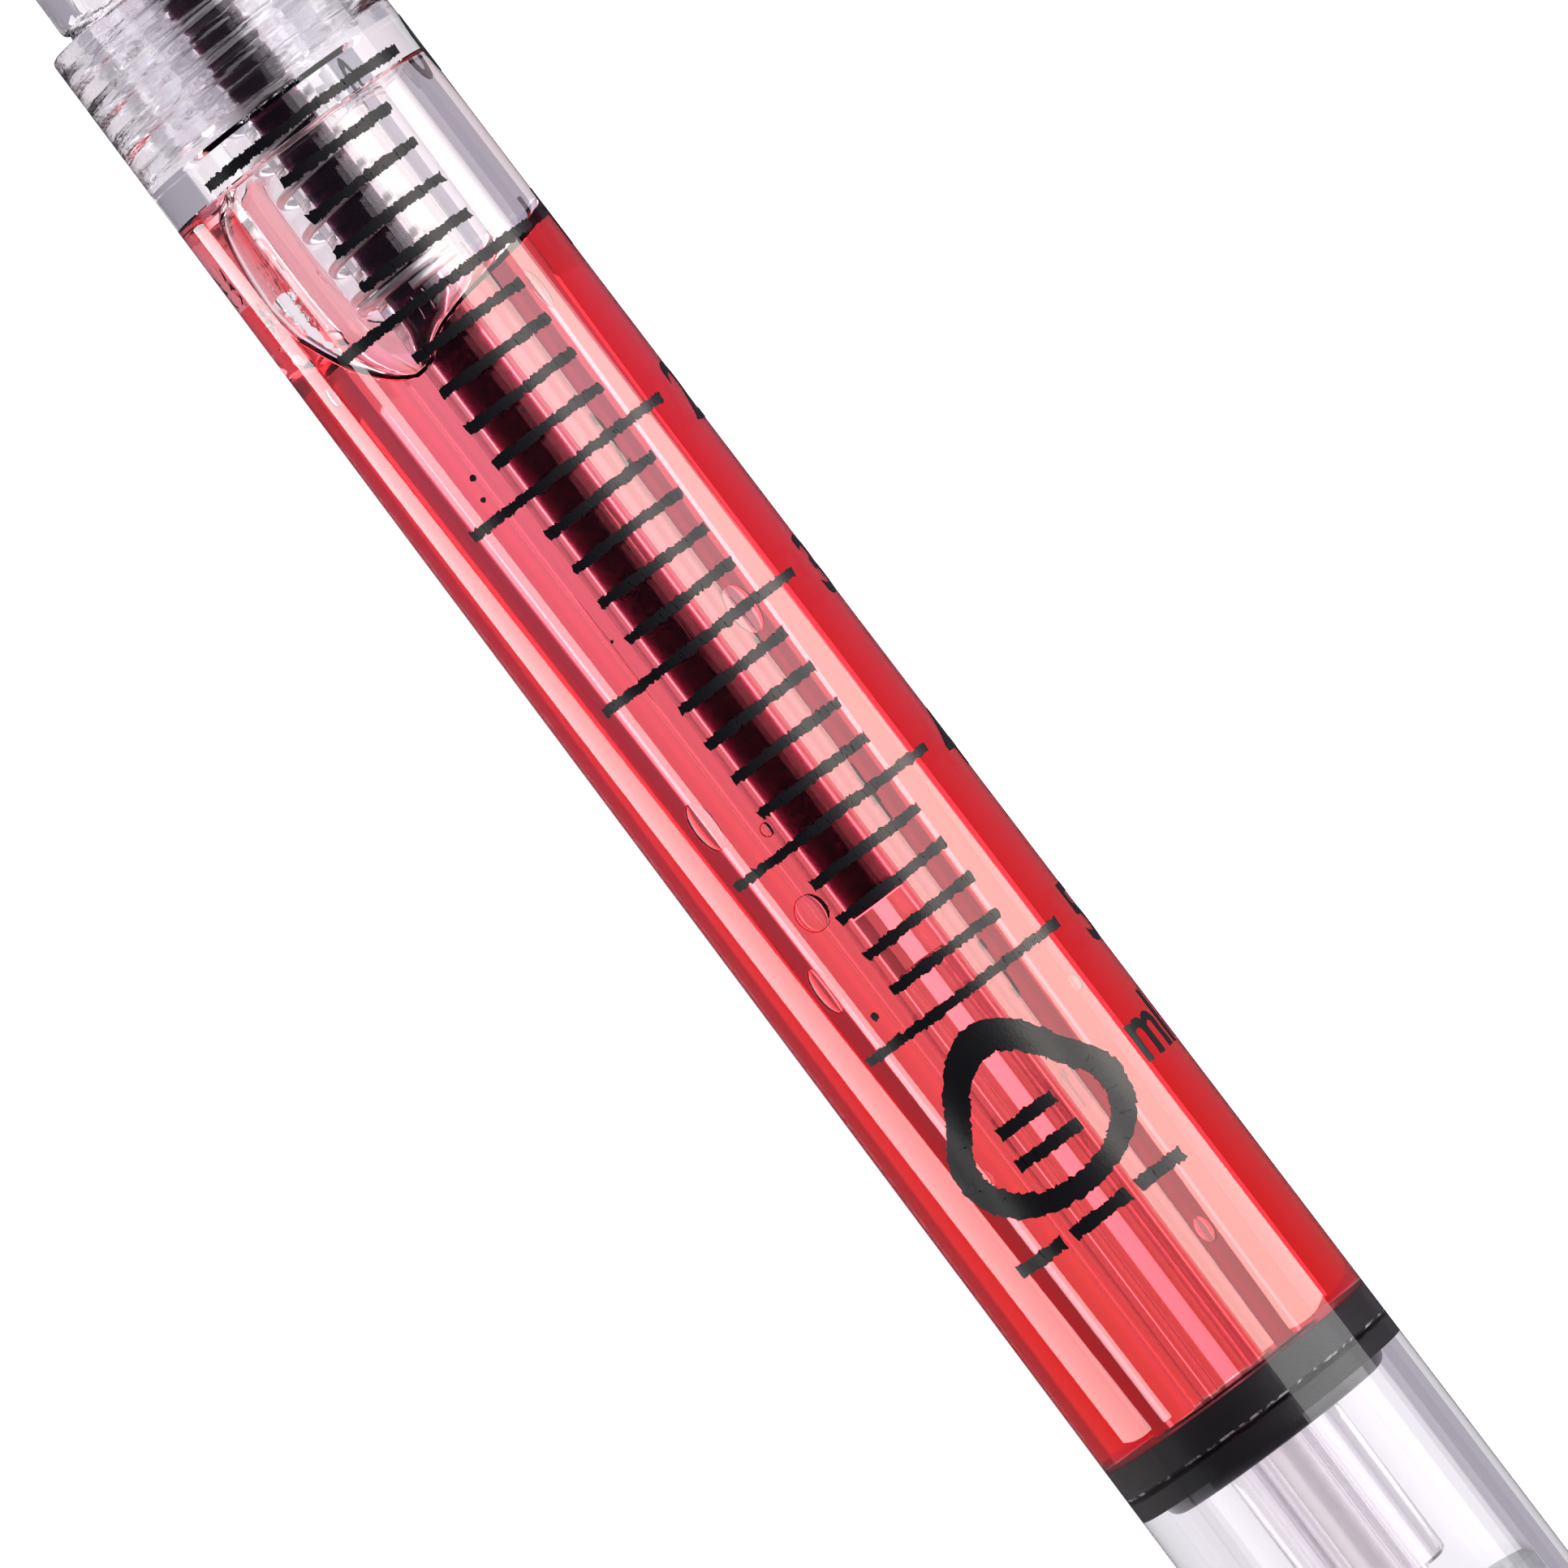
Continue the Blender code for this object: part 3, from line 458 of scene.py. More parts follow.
seal_profile = [(68.0, 2.67), (68.0, bore_radius(68) - 2 * seal_play), (68.06, bore_radius(68) - seal_play),
                (69.27, bore_radius(69) - seal_play), (69.36, bore_radius(69) - 0.1), (69.38, 5.0),
                (69.38, 2.67)]
rear_seal = turned("front_seal", seal_profile, 160)
rear_seal.data.materials.append(rubber)
rear_seal.data.materials.append(painted_rim_highlight)
# Faces on the first seal's outer rear rim carry the painted highlight; the rest is black rubber.
for face in rear_seal.data.polygons:
    back_here, radius_here, _ = face_place(face)
    face.material_index = int(back_here > 69.3 and radius_here > 4.9)

backing_radius = bore_radius(70.3) - backing_play
backing_profile = [(69.5, 2.67), (69.5, 5.0), (69.52, bore_radius(69.5) - 2 * backing_play),
                   (69.58, bore_radius(69.5) - backing_play), (70.3, backing_radius)]
for i in range(1, 9):
    angle = math.radians(90 - 90 * i / 8)
    backing_profile.append((70.3 + 0.58 * math.cos(angle),
                            backing_radius - rim_radius * (1 - math.sin(angle))))
backing_profile.append((70.88, 2.67))
backing_seal = turned("backing_seal_ring", backing_profile, 160)
backing_seal.data.materials.append(rubber)
for piece, stood_for in ((rear_seal, "rear_seal"), (backing_seal, "backing_seal")):
    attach(piece, "barrel_body")
    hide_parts(stood_for)

# ---- Printed scale ---------------------------------------------------------------------------------
# Black pad print on the outside of the barrel: six long marks with numbers, short marks between them,
# the unit, a plain drop sign with bars, and a few stray blots. The ink has crept a little, so its edges
# are ragged, in a pattern that the seed keeps the same.

print_ink, print_shader = shader_of("black print", (0.012, 0.012, 0.015), 0.3, Specular_IOR_Level=0.28)
grain(print_ink, print_shader, 9000, 0.000006, 3.0)
print_height = 0.022
print_lift = 0.004
scale_start = 7.7
scale_step = 8.4
small_step = scale_step / 5
figure_turns = (86, 83, 80, 80, 80, 80)
blots = [(22.7, -25, 0.14), (23.6, -27, 0.11), (36.4, -12, 0.12), (48.4, -26, 0.17), (21.8, 5, 0.08),
         (30.9, -20, 0.07)]
bars = [(54.9, -2.8, 2.6), (56.3, -2.8, 3.0), (59.6, -31, 2.4), (59.6, -3, 2.7), (59.6, 25, 2.4)]
noise.seed_set(5)


def wrap_print(obj, back, turn_at_middle):
    """Bends flat print, drawn in mm with x round the barrel and y to the writing end, onto the barrel."""
    points = read_points(obj) / MM
    behind = back - points[:, 1]
    on_top = points[:, 2] > 0.5 * print_height
    over = outer_radius(behind) + print_lift + np.where(on_top, print_height, 0.0)
    degrees = turn_at_middle + np.degrees(points[:, 0] / outer_radius(behind))
    write_points(obj, off_the_axis(behind, over, degrees))
    return obj


def ragged(points, seed, amount):
    """Pushes points of a flat outline about by a fixed noise, in a coarse and a fine pattern."""
    moved = points.copy()
    for i, point in enumerate(points / MM):
        for k, (size, share) in enumerate(((4.0, 0.35), (14.0, 0.65))):
            spot = Vector((point[0] * size + seed * 7.3, point[1] * size + seed * 3.1, seed + k))
            shift = noise.noise_vector(spot)
            moved[i, 0] += shift[0] * amount * share * MM
            moved[i, 1] += shift[1] * amount * share * MM
    return moved


def thicken(obj):
    """Gives flat print its thickness."""
    select_none()
    bpy.context.view_layer.objects.active = obj
    obj.select_set(True)
    bpy.ops.object.mode_set(mode="EDIT")
    bpy.ops.mesh.select_all(action="SELECT")
    bpy.ops.mesh.extrude_region_move(TRANSFORM_OT_translate={"value": (0, 0, print_height * MM)})
    bpy.ops.mesh.select_all(action="SELECT")
    bpy.ops.mesh.normals_make_consistent(inside=False)
    bpy.ops.object.mode_set(mode="OBJECT")
    return obj


def stroke(seed, length, width):
    """A printed line with ragged sides that wanders a little."""
    select_none()
    bpy.ops.mesh.primitive_grid_add(x_subdivisions=int(length / 0.05), y_subdivisions=2, size=MM)
    line = bpy.context.object
    points = read_points(line)
    x = points[:, 0] / MM
    points[:, 0] *= length
    points[:, 1] *= width * (0.94 - 0.06 * np.sin(x * 9 + seed))
    points = ragged(points, seed, 0.16)
    points[:, 1] += 0.02 * MM * np.sin(x * 4 + seed * 1.7)
    points[:, 2] = 0
    write_points(line, points)
    return thicken(line)


def dot(seed, size):
    """A round blot of print."""
    select_none()
    bpy.ops.mesh.primitive_circle_add(vertices=16, radius=size * MM, fill_type="NGON")
    spot = bpy.context.object
    write_points(spot, ragged(read_points(spot), seed, size * 0.5))
    return thicken(spot)


def flat_text(words, height):
    """Printed characters as a flat mesh, x to the right of the character."""
    select_none()
    bpy.ops.object.text_add()
    text = bpy.context.object
    text.data.body = words
    text.data.size = height * MM / 0.72
    text.data.align_x = "CENTER"
    text.data.resolution_u = 6
    text.data.offset = 0.00006
    bpy.ops.object.convert(target="MESH")
    letters = bpy.context.object
    bpy.ops.object.mode_set(mode="EDIT")
    bpy.ops.mesh.select_all(action="SELECT")
    bpy.ops.mesh.remove_doubles(threshold=2e-6)
    bpy.ops.mesh.subdivide(number_cuts=2)
    bpy.ops.object.mode_set(mode="OBJECT")
    write_points(letters, ragged(read_points(letters), len(words) + height, 0.09))
    return thicken(letters)


prints = []
for i in range(6):
    mark = scale_start + scale_step * i
    prints.append(wrap_print(stroke(i + 1, 10.4, 0.44), mark, 8.4))
    if i < 5:
        for k in range(1, 5):
            prints.append(wrap_print(stroke(10 * i + k + 20, 5.35, 0.46), mark + small_step * k, 10.1))
    prints.append(wrap_print(flat_text(str(i), 2.7), mark + 1.5, figure_turns[i]))
prints.append(wrap_print(flat_text("ml", 2.5), 56.1, 64))
for i, (behind, turn_here, size) in enumerate(blots):
    prints.append(wrap_print(dot(i + 3, size), behind, turn_here))


def drop_outline(size, count=56):
    """A drop standing on its round end, as points in mm with its tip at the writing end."""
    outline = []
    for i in range(count):
        angle = 2 * math.pi * i / count
        tip = max(0.0, math.cos(angle))
        reach = size * (1 + 0.55 * tip ** 5)
        width = 1.36 * (1 - 0.25 * tip ** 2)
        outline.append((width * reach * math.sin(angle), reach * math.cos(angle)))
    return outline


def ring_print(outer, inner, seed):
    """The space between two outlines of equal length, as ragged print."""
    select_none()
    bpy.ops.mesh.primitive_circle_add(vertices=len(outer), radius=MM, fill_type="NOTHING")
    loop = bpy.context.object
    bpy.ops.object.mode_set(mode="EDIT")
    bpy.ops.mesh.select_all(action="SELECT")
    bpy.ops.mesh.extrude_edges_move(TRANSFORM_OT_translate={"value": (0, 0, 0)})
    bpy.ops.object.mode_set(mode="OBJECT")
    points = read_points(loop)
    angles = np.arctan2(points[:, 0], points[:, 1]) % (2 * math.pi)
    index = np.round(angles / (2 * math.pi) * len(outer)).astype(int) % len(outer)
    outer_done = set()
    for i, k in enumerate(index):
        outline = inner if k in outer_done else outer
        outer_done.add(k)
        points[i] = (outline[k][0] * MM, outline[k][1] * MM, 0)
    write_points(loop, points)
    bpy.ops.object.mode_set(mode="EDIT")
    bpy.ops.mesh.select_all(action="SELECT")
    bpy.ops.mesh.subdivide(number_cuts=3)
    bpy.ops.object.mode_set(mode="OBJECT")
    points = ragged(read_points(loop), seed, 0.2)
    points[:, 2] = 0
    write_points(loop, points)
    return thicken(loop)


drop = ring_print(drop_outline(3.1), drop_outline(2.2), 41)
prints.append(wrap_print(drop, 55.6, -1.9))
for i, (behind, turn_here, length) in enumerate(bars):
    prints.append(wrap_print(stroke(60 + i, length, 0.6), behind, turn_here))
select_none()
for part in prints:
    part.select_set(True)
bpy.context.view_layer.objects.active = prints[0]
bpy.ops.object.join()
scale_print = settle(bpy.context.object, "printed_scale")
scale_print.data.materials.append(print_ink)
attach(scale_print, "barrel_body")

# ---- Nose cone -------------------------------------------------------------------------------------
# Clear styrene cone, moulded with a coarse thread behind its shoulder. It screws into the barrel's mouth
# and holds the spring's front end on a ledge inside.

spigot_radius = 4.4
spigot_thread_ends = (0.2, 5.9)
thread_height = 0.45
nose_plastic, nose_shader = shader_of("clear styrene, nose", plastic_tint, 0.02,
                                      IOR=1.56, Transmission_Weight=1.0)
grain(nose_plastic, nose_shader, 1600, 0.00002, 3.0, (0.3, 1, 1))
nose_profile = [(-25.97, 1.66), (-25.9, 1.78), (-25.75, 1.9)]
for i in range(1, 31):
    share = i / 30
    bulge = math.sin(share * math.pi / 2) ** 0.85
    nose_profile.append((-25.75 + (25.75 - 0.7) * share, 1.9 + (4.94 - 1.9) * bulge))
nose_profile += [(-0.55, 4.9), (-0.45, 4.8), (-0.45, 4.69), (-0.1, 4.75), (0.0, 4.85)]
nose_profile += [(0.25 + 5.6 * i / 56, spigot_radius) for i in range(57)]
nose_profile += [(5.93, 4.34), (6.0, 4.25), (6.0, 2.6), (5.85, 2.45), (-12.0, 2.45), (-12.0, 1.75),
                 (-19.6, 1.75), (-19.9, 1.3), (-25.9, 1.3), (-26.0, 1.4), (-26.0, 1.55)]
nose = turned("clear_nose", nose_profile, 192)
points = read_points(nose)
back, radius, turn = round_the_axis(points)
between_ends = (back > spigot_thread_ends[0]) & (back < spigot_thread_ends[1])
on_spigot = between_ends & (np.abs(radius - spigot_radius) < 0.02)
ridge = thread_height * thread_ridge(back, turn, spigot_thread_ends, 3.2, 0.7, 1.4)
write_points(nose, off_the_axis(back, np.where(on_spigot, radius + ridge, radius), turn))
nose.data.materials.append(nose_plastic)
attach(nose, "nose_body")
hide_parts("nose_cone")

# ---- Return spring ---------------------------------------------------------------------------------
# Bright drawn steel wire wound round the refill, with two closed turns at each end. It rests on the
# nose's ledge and against the refill's two ears.

steel, steel_shader = shader_of("spring steel", (0.93, 0.94, 0.95), 0.36, Metallic=0.8)
grain(steel, steel_shader, 6000, 0.000004, 2.0)
wire_radius = 0.2
coil_radius = 2.1
spring_front = -11.7
spring_rear = 15.3
closed_turns = 2
closed_pitch = 0.46
all_turns = 15.0 + 2 * closed_turns


def spring_place(turns):
    """mm behind the mouth of the wire's middle, after so many turns from the front."""
    closed = closed_turns * closed_pitch
    return np.interp(turns, [0, closed_turns, all_turns - closed_turns, all_turns],
                     [spring_front, spring_front + closed, spring_rear - closed, spring_rear])


spine = bpy.data.curves.new("spring_spine", "CURVE")
spine.dimensions = "3D"
spine.bevel_depth = wire_radius * MM
spine.bevel_resolution = 3
spine.use_fill_caps = True
strand = spine.splines.new("POLY")
turns_along = np.linspace(0, all_turns, int(all_turns * 40) + 1)
coil_radii = np.full(len(turns_along), coil_radius)
path = off_the_axis(spring_place(turns_along), coil_radii, -360 * turns_along)
strand.points.add(len(path) - 1)
strand.points.foreach_set("co", np.hstack([path, np.ones((len(path), 1))]).ravel())
spring = bpy.data.objects.new("spring_wire", spine)
bpy.context.scene.collection.objects.link(spring)
select_none()
spring.select_set(True)
bpy.context.view_layer.objects.active = spring
bpy.ops.object.convert(target="MESH")
spring = settle(bpy.context.object, "spring_wire", 60)
spring.data.materials.append(steel)
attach(spring, "nose_body")
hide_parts("return_spring")
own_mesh(spring)

# ---- Refill ----------------------------------------------------------------------------------------
# A clear polypropylene tube, with two ears pinched out of it for the spring and dark ink behind its metal
# point. A little clear grease follows the ink; behind it the tube is empty. The point is pressed in.

tube_radius = 1.6
tube_bore = 0.8
ink_ends = (-9.7, 45.0)
grease_rear = 48.03
ear_size = (1.2, 0.5, 0.58)
refill_plastic, refill_shader = shader_of("refill polypropylene", (0.97, 0.96, 0.95), 0.03,
                                          IOR=1.5, Transmission_Weight=1.0)
grain(refill_plastic, refill_shader, 1500, 0.000005, 2.0, (0.05, 1, 1))
inked_plastic, inked_shader = shader_of("refill against ink", (1, 1, 1), 0.0,
                                        IOR=1.04, Transmission_Weight=1.0)
grain(inked_plastic, inked_shader, 900, 0.0000006, 1.0, (0.1, 1, 1))
tube_profile = [(-14.0, tube_bore + 0.03), (-14.0, tube_radius - 0.05)]
tube_profile += [(back, tube_radius) for back in (-13.95, 0.0, 40.0, 84.95)]
tube_profile += [(85.0, tube_radius - 0.05), (85.0, tube_bore + 0.03)]
tube_profile += [(back, tube_bore) for back in (84.97, grease_rear, ink_ends[1], ink_ends[0], -13.97)]
tube = turned("refill_tube_clear", tube_profile, 96)
for side in (-1, 1):
    select_none()
    bpy.ops.mesh.primitive_cube_add(size=1, location=place(16.2, 1.86 * side, 0))
    ear = bpy.context.object
    ear.scale = [size * MM for size in ear_size]
    bpy.ops.object.transform_apply(location=True, rotation=True, scale=True)
    bevel = ear.modifiers.new("rounding", "BEVEL")
    bevel.width = 0.06 * MM
    bevel.segments = 2
    bpy.ops.object.modifier_apply(modifier="rounding")
    select_none()
    bpy.context.view_layer.objects.active = tube
    tube.select_set(True)
    union = tube.modifiers.new("ear", "BOOLEAN")
    union.operation = "UNION"
    union.solver = "EXACT"
    union.object = ear
    bpy.ops.object.modifier_apply(modifier="ear")
    bpy.data.objects.remove(ear)
tube.data.materials.clear()
tube.data.materials.append(refill_plastic)
tube.data.materials.append(inked_plastic)
for face in tube.data.polygons:
    back_here, radius_here, outward = face_place(face)
    face.material_index = int(ink_ends[0] < back_here < grease_rear and radius_here < 1.3 and outward < 0)
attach(tube, "refill_body")
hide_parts("refill_tube")

ink = bpy.data.materials.new("dark ink")
ink.use_nodes = True
ink.node_tree.nodes.remove(ink.node_tree.nodes["Principled BSDF"])
ink_output = ink.node_tree.nodes["Material Output"]
ink_through = node(ink, "ShaderNodeBsdfTransparent")
ink_dye = node(ink, "ShaderNodeVolumeAbsorption", Color=(0.42, 0.1, 0.3, 1), Density=6000)
link(ink, ink_through.outputs[0], ink_output.inputs["Surface"])
link(ink, ink_dye.outputs[0], ink_output.inputs["Volume"])
ink_profile = [(-9.68, 0), (-9.68, 0.76), (-9.62, 0.785), (44.95, 0.785), (45.0, 0.76), (45.0, 0)]
ink_column = turned("dark_ink", ink_profile, 64, closed=False)
ink_column.data.materials.append(ink)
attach(ink_column, "refill_body")
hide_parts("ink_column")

grease, grease_shader = shader_of("follower grease", (0.98, 0.96, 0.93), 0.0,
                                  IOR=1.46, Transmission_Weight=1.0)
grain(grease, grease_shader, 3000, 0.00001, 2.0)
grease_profile = [(45.05, 0), (45.05, 0.78), (48.0, 0.78), (47.8, 0.5), (47.7, 0)]
follower = turned("grease_follower", grease_profile, 64, closed=False)
follower.data.materials.append(grease)
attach(follower, "refill_body")
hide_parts("ink_follower")

nickel, nickel_shader = shader_of("nickel silver", (0.72, 0.69, 0.62), 0.2, Metallic=1.0)
grain(nickel, nickel_shader, 3000, 0.000004, 2.0, (4, 1, 1))
socket_place, socket_radius = -24.04, 0.38
socket_turns = [math.radians(degrees) for degrees in range(0, 120, 12)]
point_profile = [(socket_place + socket_radius, 0)]
point_profile += [(socket_place + socket_radius * math.cos(angle), socket_radius * math.sin(angle))
                  for angle in socket_turns[1:]]
point_profile += [(-24.2, 0.36), (-24.2, 0.48), (-24.1, 0.53), (-22.9, 0.66), (-22.85, 0.72), (-20.1, 1.12),
                  (-20.0, 1.15), (-14.35, 1.15), (-14.3, 1.1), (-14.3, 0.78), (-10.1, 0.78), (-10.0, 0.72),
                  (-10.0, 0)]
point = turned("refill_point_metal", point_profile, 96, closed=False)
point.data.materials.append(nickel)
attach(point, "refill_body")
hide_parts("refill_point")
writing_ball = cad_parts["writing_ball"]
writing_ball.data.materials.clear()
writing_ball.data.materials.append(steel)

# ---- Rear plug -------------------------------------------------------------------------------------
# A frosted plastic ring, moulded with a textured skin and pressed into the barrel's rear end. It centres
# the index sleeve.

frosted, frosted_shader = shader_of("frosted plastic", (0.86, 0.9, 0.93), 0.4,
                                    IOR=1.5, Transmission_Weight=0.75)
grain(frosted, frosted_shader, 2600, 0.00012, 3.0)
plug_front_radius = bore_radius(79.9) - 0.05
plug_rear_radius = bore_radius(84) - 0.07
plug = turned("frosted_plug", [(79.9, 4.1), (79.9, plug_front_radius - 0.2), (80.1, plug_front_radius),
                               (83.8, plug_rear_radius), (84.0, plug_rear_radius - 0.15), (84.0, 4.1),
                               (83.9, 4.0), (80.0, 4.0)], 128)
plug.data.materials.append(frosted)
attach(plug, "barrel_body")
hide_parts("rear_plug")

# ---- Click mechanism -------------------------------------------------------------------------------
# White acetal sleeve with ribs, a finned rotor and a toothed crown behind the refill, and an end ring that
# keeps the rod in. All are injection moulded, with slightly rounded edges. The sleeve and the ring are
# pressed in; the rotor turns on the refill's end.

acetal, acetal_shader = shader_of("white acetal", (0.83, 0.83, 0.81), 0.38, Subsurface_Weight=0.15)
acetal_shader.inputs["Subsurface Radius"].default_value = (0.001, 0.001, 0.001)
grain(acetal, acetal_shader, 5000, 0.000008, 3.0)


def refined(node_name, body, material, edge, wear):
    """A copy of a moulded solid with its edges rounded and its faces a little uneven."""
    select_none()
    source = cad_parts[node_name]
    source.select_set(True)
    bpy.context.view_layer.objects.active = source
    bpy.ops.object.duplicate()
    piece = bpy.context.object
    place_in_world = piece.matrix_world.copy()
    piece.parent = None
    piece.matrix_world = place_in_world
    for key in list(piece.keys()):
        del piece[key]
    weld = piece.modifiers.new("weld", "WELD")
    weld.merge_threshold = 1e-7
    rounding = piece.modifiers.new("rounding", "BEVEL")
    rounding.width = edge * MM
    rounding.segments = 2
    rounding.limit_method = "ANGLE"
    rounding.angle_limit = math.radians(38)
    for modifier in ("weld", "rounding"):
        bpy.ops.object.modifier_apply(modifier=modifier)
    piece = settle(piece, "moulded_" + node_name, 35)
    spots = read_points(piece)
    middle = spots.mean(axis=0)
    shrink = np.array([1 - wear * (0.5 + 0.5 * noise.noise(Vector(spot) * 400)) for spot in spots])
    write_points(piece, middle + (spots - middle) * shrink[:, None])
    piece.data.materials.clear()
    piece.data.materials.append(material)
    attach(piece, body)
    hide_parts(node_name)


for node_name, body in (("cam_sleeve", "barrel_body"), ("click_rotor", "rotor_body"),
                        ("click_crown", "plunger_body"), ("end_ring", "barrel_body")):
    refined(node_name, body, acetal, 0.04, 0.0015)

# ---- Finger flange, plunger and thumb plate --------------------------------------------------------
# Clear styrene, moulded with soft edges. The flange is pushed over the barrel's rear end, the cross-ribbed
# rod slides in it, and the round plate sits on the rod's end.

moulded, moulded_shader = shader_of("clear styrene, moulded", plastic_tint, 0.02, IOR=1.56,
                                    Transmission_Weight=1.0)
grain(moulded, moulded_shader, 700, 0.000006, 3.0)
for node_name, body in (("finger_flange", "barrel_body"), ("plunger_rod", "plunger_body"),
                        ("thumb_plate", "plunger_body")):
    refined(node_name, body, moulded, 0.09, 0.0015)

# ---- Floor, light and camera -----------------------------------------------------------------------
# A plain white floor and one large soft light on the pen's right side. What a clear pen shows comes from
# around it, so light cards stand there that the camera doesn't see: strips that are only mirrored in the
# pen, and sheets under it and low walls far away that are only seen through it. Under the pen the sheets
# hold a painted shadow on its right side and a painted pool of focused light under the liquid.

strip_distance = 100.0
strip_ends = (3.2, 71.2)
sheet_drop = 29 * MM
patch_drop = 28.7 * MM
white_light = (1, 1, 1)
warm_light = (1, 0.93, 0.84)
view_width = 60.5 * MM
camera_distance = 0.6

floor_material, floor_shader = shader_of("white floor", (0.9, 0.9, 0.9), 0.9, Emission_Strength=1.0)
floor_shader.inputs["Emission Color"].default_value = (1, 1, 1, 1)
select_none()
bpy.ops.mesh.primitive_plane_add(size=4, location=(0, 0, -0.0002))
floor = bpy.context.object
floor.name = "floor"
floor.data.materials.append(floor_material)
floor.visible_transmission = False
floor.visible_glossy = False


def glow(name, strength, colour=white_light):
    """A material that only gives light, and its shader."""
    material = bpy.data.materials.new(name)
    material.use_nodes = True
    material.node_tree.nodes.remove(material.node_tree.nodes["Principled BSDF"])
    shine = node(material, "ShaderNodeEmission", Color=(*colour, 1), Strength=strength)
    link(material, shine.outputs[0], material.node_tree.nodes["Material Output"].inputs["Surface"])
    return material, shine


def card(name, material, seen_through):
    """Makes the active object a card that is only seen through the pen, or only mirrored in it."""
    made = bpy.context.object
    made.name = name
    made.data.materials.append(material)
    made.visible_camera = False
    made.visible_diffuse = False
    made.visible_shadow = False
    made.visible_glossy = not seen_through
    made.visible_transmission = seen_through
    made.visible_volume_scatter = False


def four_cornered_card(name, corners, strength, colour, seen_through):
    """A flat card between four corners."""
    select_none()
    bpy.ops.mesh.primitive_plane_add(size=1)
    for vertex, corner in zip(bpy.context.object.data.vertices, corners):
        vertex.co = corner
    material, _ = glow(name, strength, colour)
    card(name, material, seen_through)


# Painted shadow: the light sheet seen through the pen is dimmed to a grey lilac on the pen's right side,
# standing in for the pen's shadow on the floor.
sheet_glow, sheet_shine = glow("light sheet", 1.03)
sheet_place = node(sheet_glow, "ShaderNodeTexCoord")
split = node(sheet_glow, "ShaderNodeSeparateXYZ")
sideways = node(sheet_glow, "ShaderNodeMapRange", From_Min=-0.05, From_Max=0.05)
painted_shadow_band = node(sheet_glow, "ShaderNodeValToRGB")
along_pen = node(sheet_glow, "ShaderNodeMapRange", From_Min=front_face - 0.1, From_Max=front_face)
warmth = node(sheet_glow, "ShaderNodeValToRGB")
gel = node(sheet_glow, "ShaderNodeMix")
gel.data_type = "RGBA"
gel.blend_type = "MULTIPLY"
gel.inputs["Factor"].default_value = 1.0
set_ramp(painted_shadow_band, (0.33, (0.42, 0.4, 0.46)), (0.35, white_light))
set_ramp(warmth, (0.28, white_light), (0.86, white_light), ((0.32, (1, 1, 0.75)), (0.8, (1, 1, 1.2))))
link(sheet_glow, sheet_place.outputs["Object"], split.inputs[0])
link(sheet_glow, split.outputs["Y"], sideways.inputs["Value"])
link(sheet_glow, sideways.outputs[0], painted_shadow_band.inputs[0])
link(sheet_glow, split.outputs["X"], along_pen.inputs["Value"])
link(sheet_glow, along_pen.outputs[0], warmth.inputs[0])
link(sheet_glow, painted_shadow_band.outputs[0], gel.inputs[6])
link(sheet_glow, warmth.outputs[0], gel.inputs[7])
link(sheet_glow, gel.outputs[2], sheet_shine.inputs["Color"])
select_none()
bpy.ops.mesh.primitive_plane_add(size=1, location=(0, 0, axis_height - sheet_drop))
bpy.context.object.scale = (0.8, 0.6, 1)
bpy.ops.object.transform_apply(location=False, rotation=False, scale=True)
card("light_sheet", sheet_glow, True)

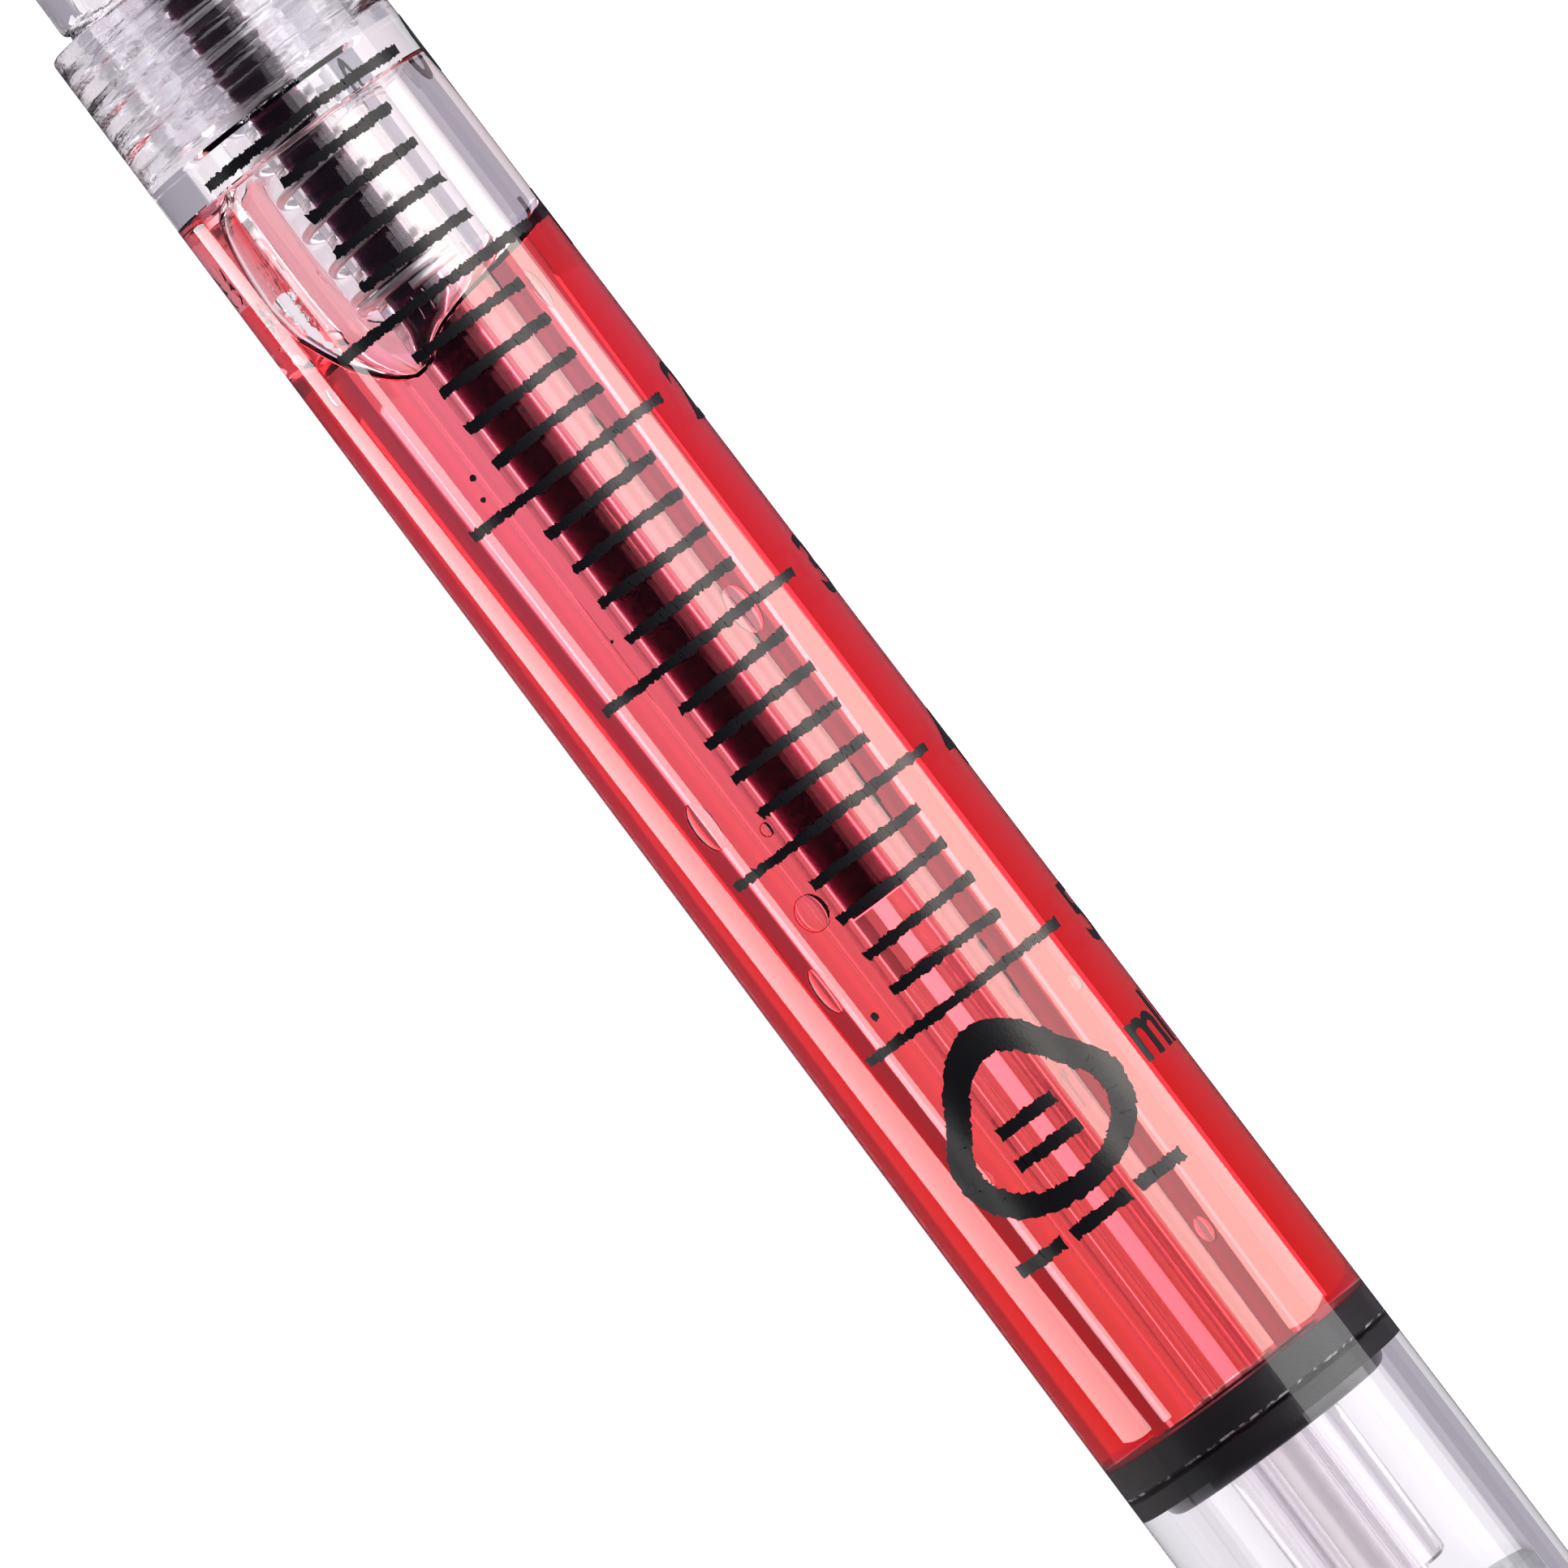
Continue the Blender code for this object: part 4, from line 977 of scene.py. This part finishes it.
for name, colour, strength, front_turns, rear_turns in (
        ("low_strip", white_light, 5.6, (-109.9, -128.7), (-71.6, -102.6)),
        ("high_strip", white_light, 6.5, (-67.3, -76), (-52.7, -60.8)),
        ("upper_card", warm_light, 8.0, (27.5, 54.3), (26.1, 36.7)),
        ("side_card", warm_light, 8.5, (80.3, 89.4), (52, 93.6))):
    corners = [place(strip_ends[0], strip_distance, turn_here) for turn_here in front_turns]
    corners += [place(strip_ends[1], strip_distance, turn_here) for turn_here in rear_turns]
    four_cornered_card(name, corners, strength, colour, False)

select_none()
bpy.ops.mesh.primitive_cylinder_add(vertices=48, radius=1.9, depth=0.8, end_fill_type="NOTHING",
                                    location=(0, 0, axis_height + 0.3))
card("far_walls", glow("far walls", 0.75)[0], True)

# Painted pool of light: the bright sheet under the liquid stands in for light that the pen focuses onto the
# floor beneath it.
for name, ends, sides, strength, colour in (
        ("painted_caustic_sheet", (17.5, 69), (-0.005, 0.0088), 4.4, white_light),
        ("front_sheet", (-60, 17.4), (-0.016, 0.05), 0.92, (1, 0.94, 0.98)),
        ("rear_sheet", (69.1, 120), (-0.016, 0.05), 0.9, (0.97, 0.96, 1))):
    corners = [Vector((front_face - end * MM, side, axis_height - patch_drop))
               for end in ends for side in sides]
    four_cornered_card(name, corners, strength, colour, True)

world = bpy.data.worlds.new("studio")
bpy.context.scene.world = world
world.use_nodes = True
background = world.node_tree.nodes["Background"]
background.inputs["Color"].default_value = (0.05, 0.035, 0.055, 1)
background.inputs["Strength"].default_value = 1.0

lamp_data = bpy.data.lights.new("softbox", "AREA")
lamp_data.shape = "RECTANGLE"
lamp_data.size = 1.6
lamp_data.size_y = 1.107
lamp_data.energy = 12.4
softbox = bpy.data.objects.new("softbox", lamp_data)
bpy.context.scene.collection.objects.link(softbox)
softbox.location = (0, -0.5, axis_height + 0.51)
softbox.rotation_euler = (math.radians(90), 0, 0)
softbox.visible_camera = False

scene = bpy.context.scene
scene.view_settings.view_transform = "Standard"
scene.cycles.max_bounces = 40
scene.cycles.transmission_bounces = 36
scene.cycles.transparent_max_bounces = 32
scene.cycles.glossy_bounces = 12

camera_data = bpy.data.cameras.new("camera")
camera_data.sensor_width = 36
camera_data.lens = 36 * camera_distance / view_width
camera_data.clip_start = 0.05
camera_data.clip_end = 20
camera = bpy.data.objects.new("camera", camera_data)
scene.collection.objects.link(camera)
camera.location = (front_face - 39.2 * MM, 0.09 * MM, axis_height + camera_distance)
camera.rotation_euler = (0, 0, math.atan2(-0.798, -0.602))
scene.camera = camera
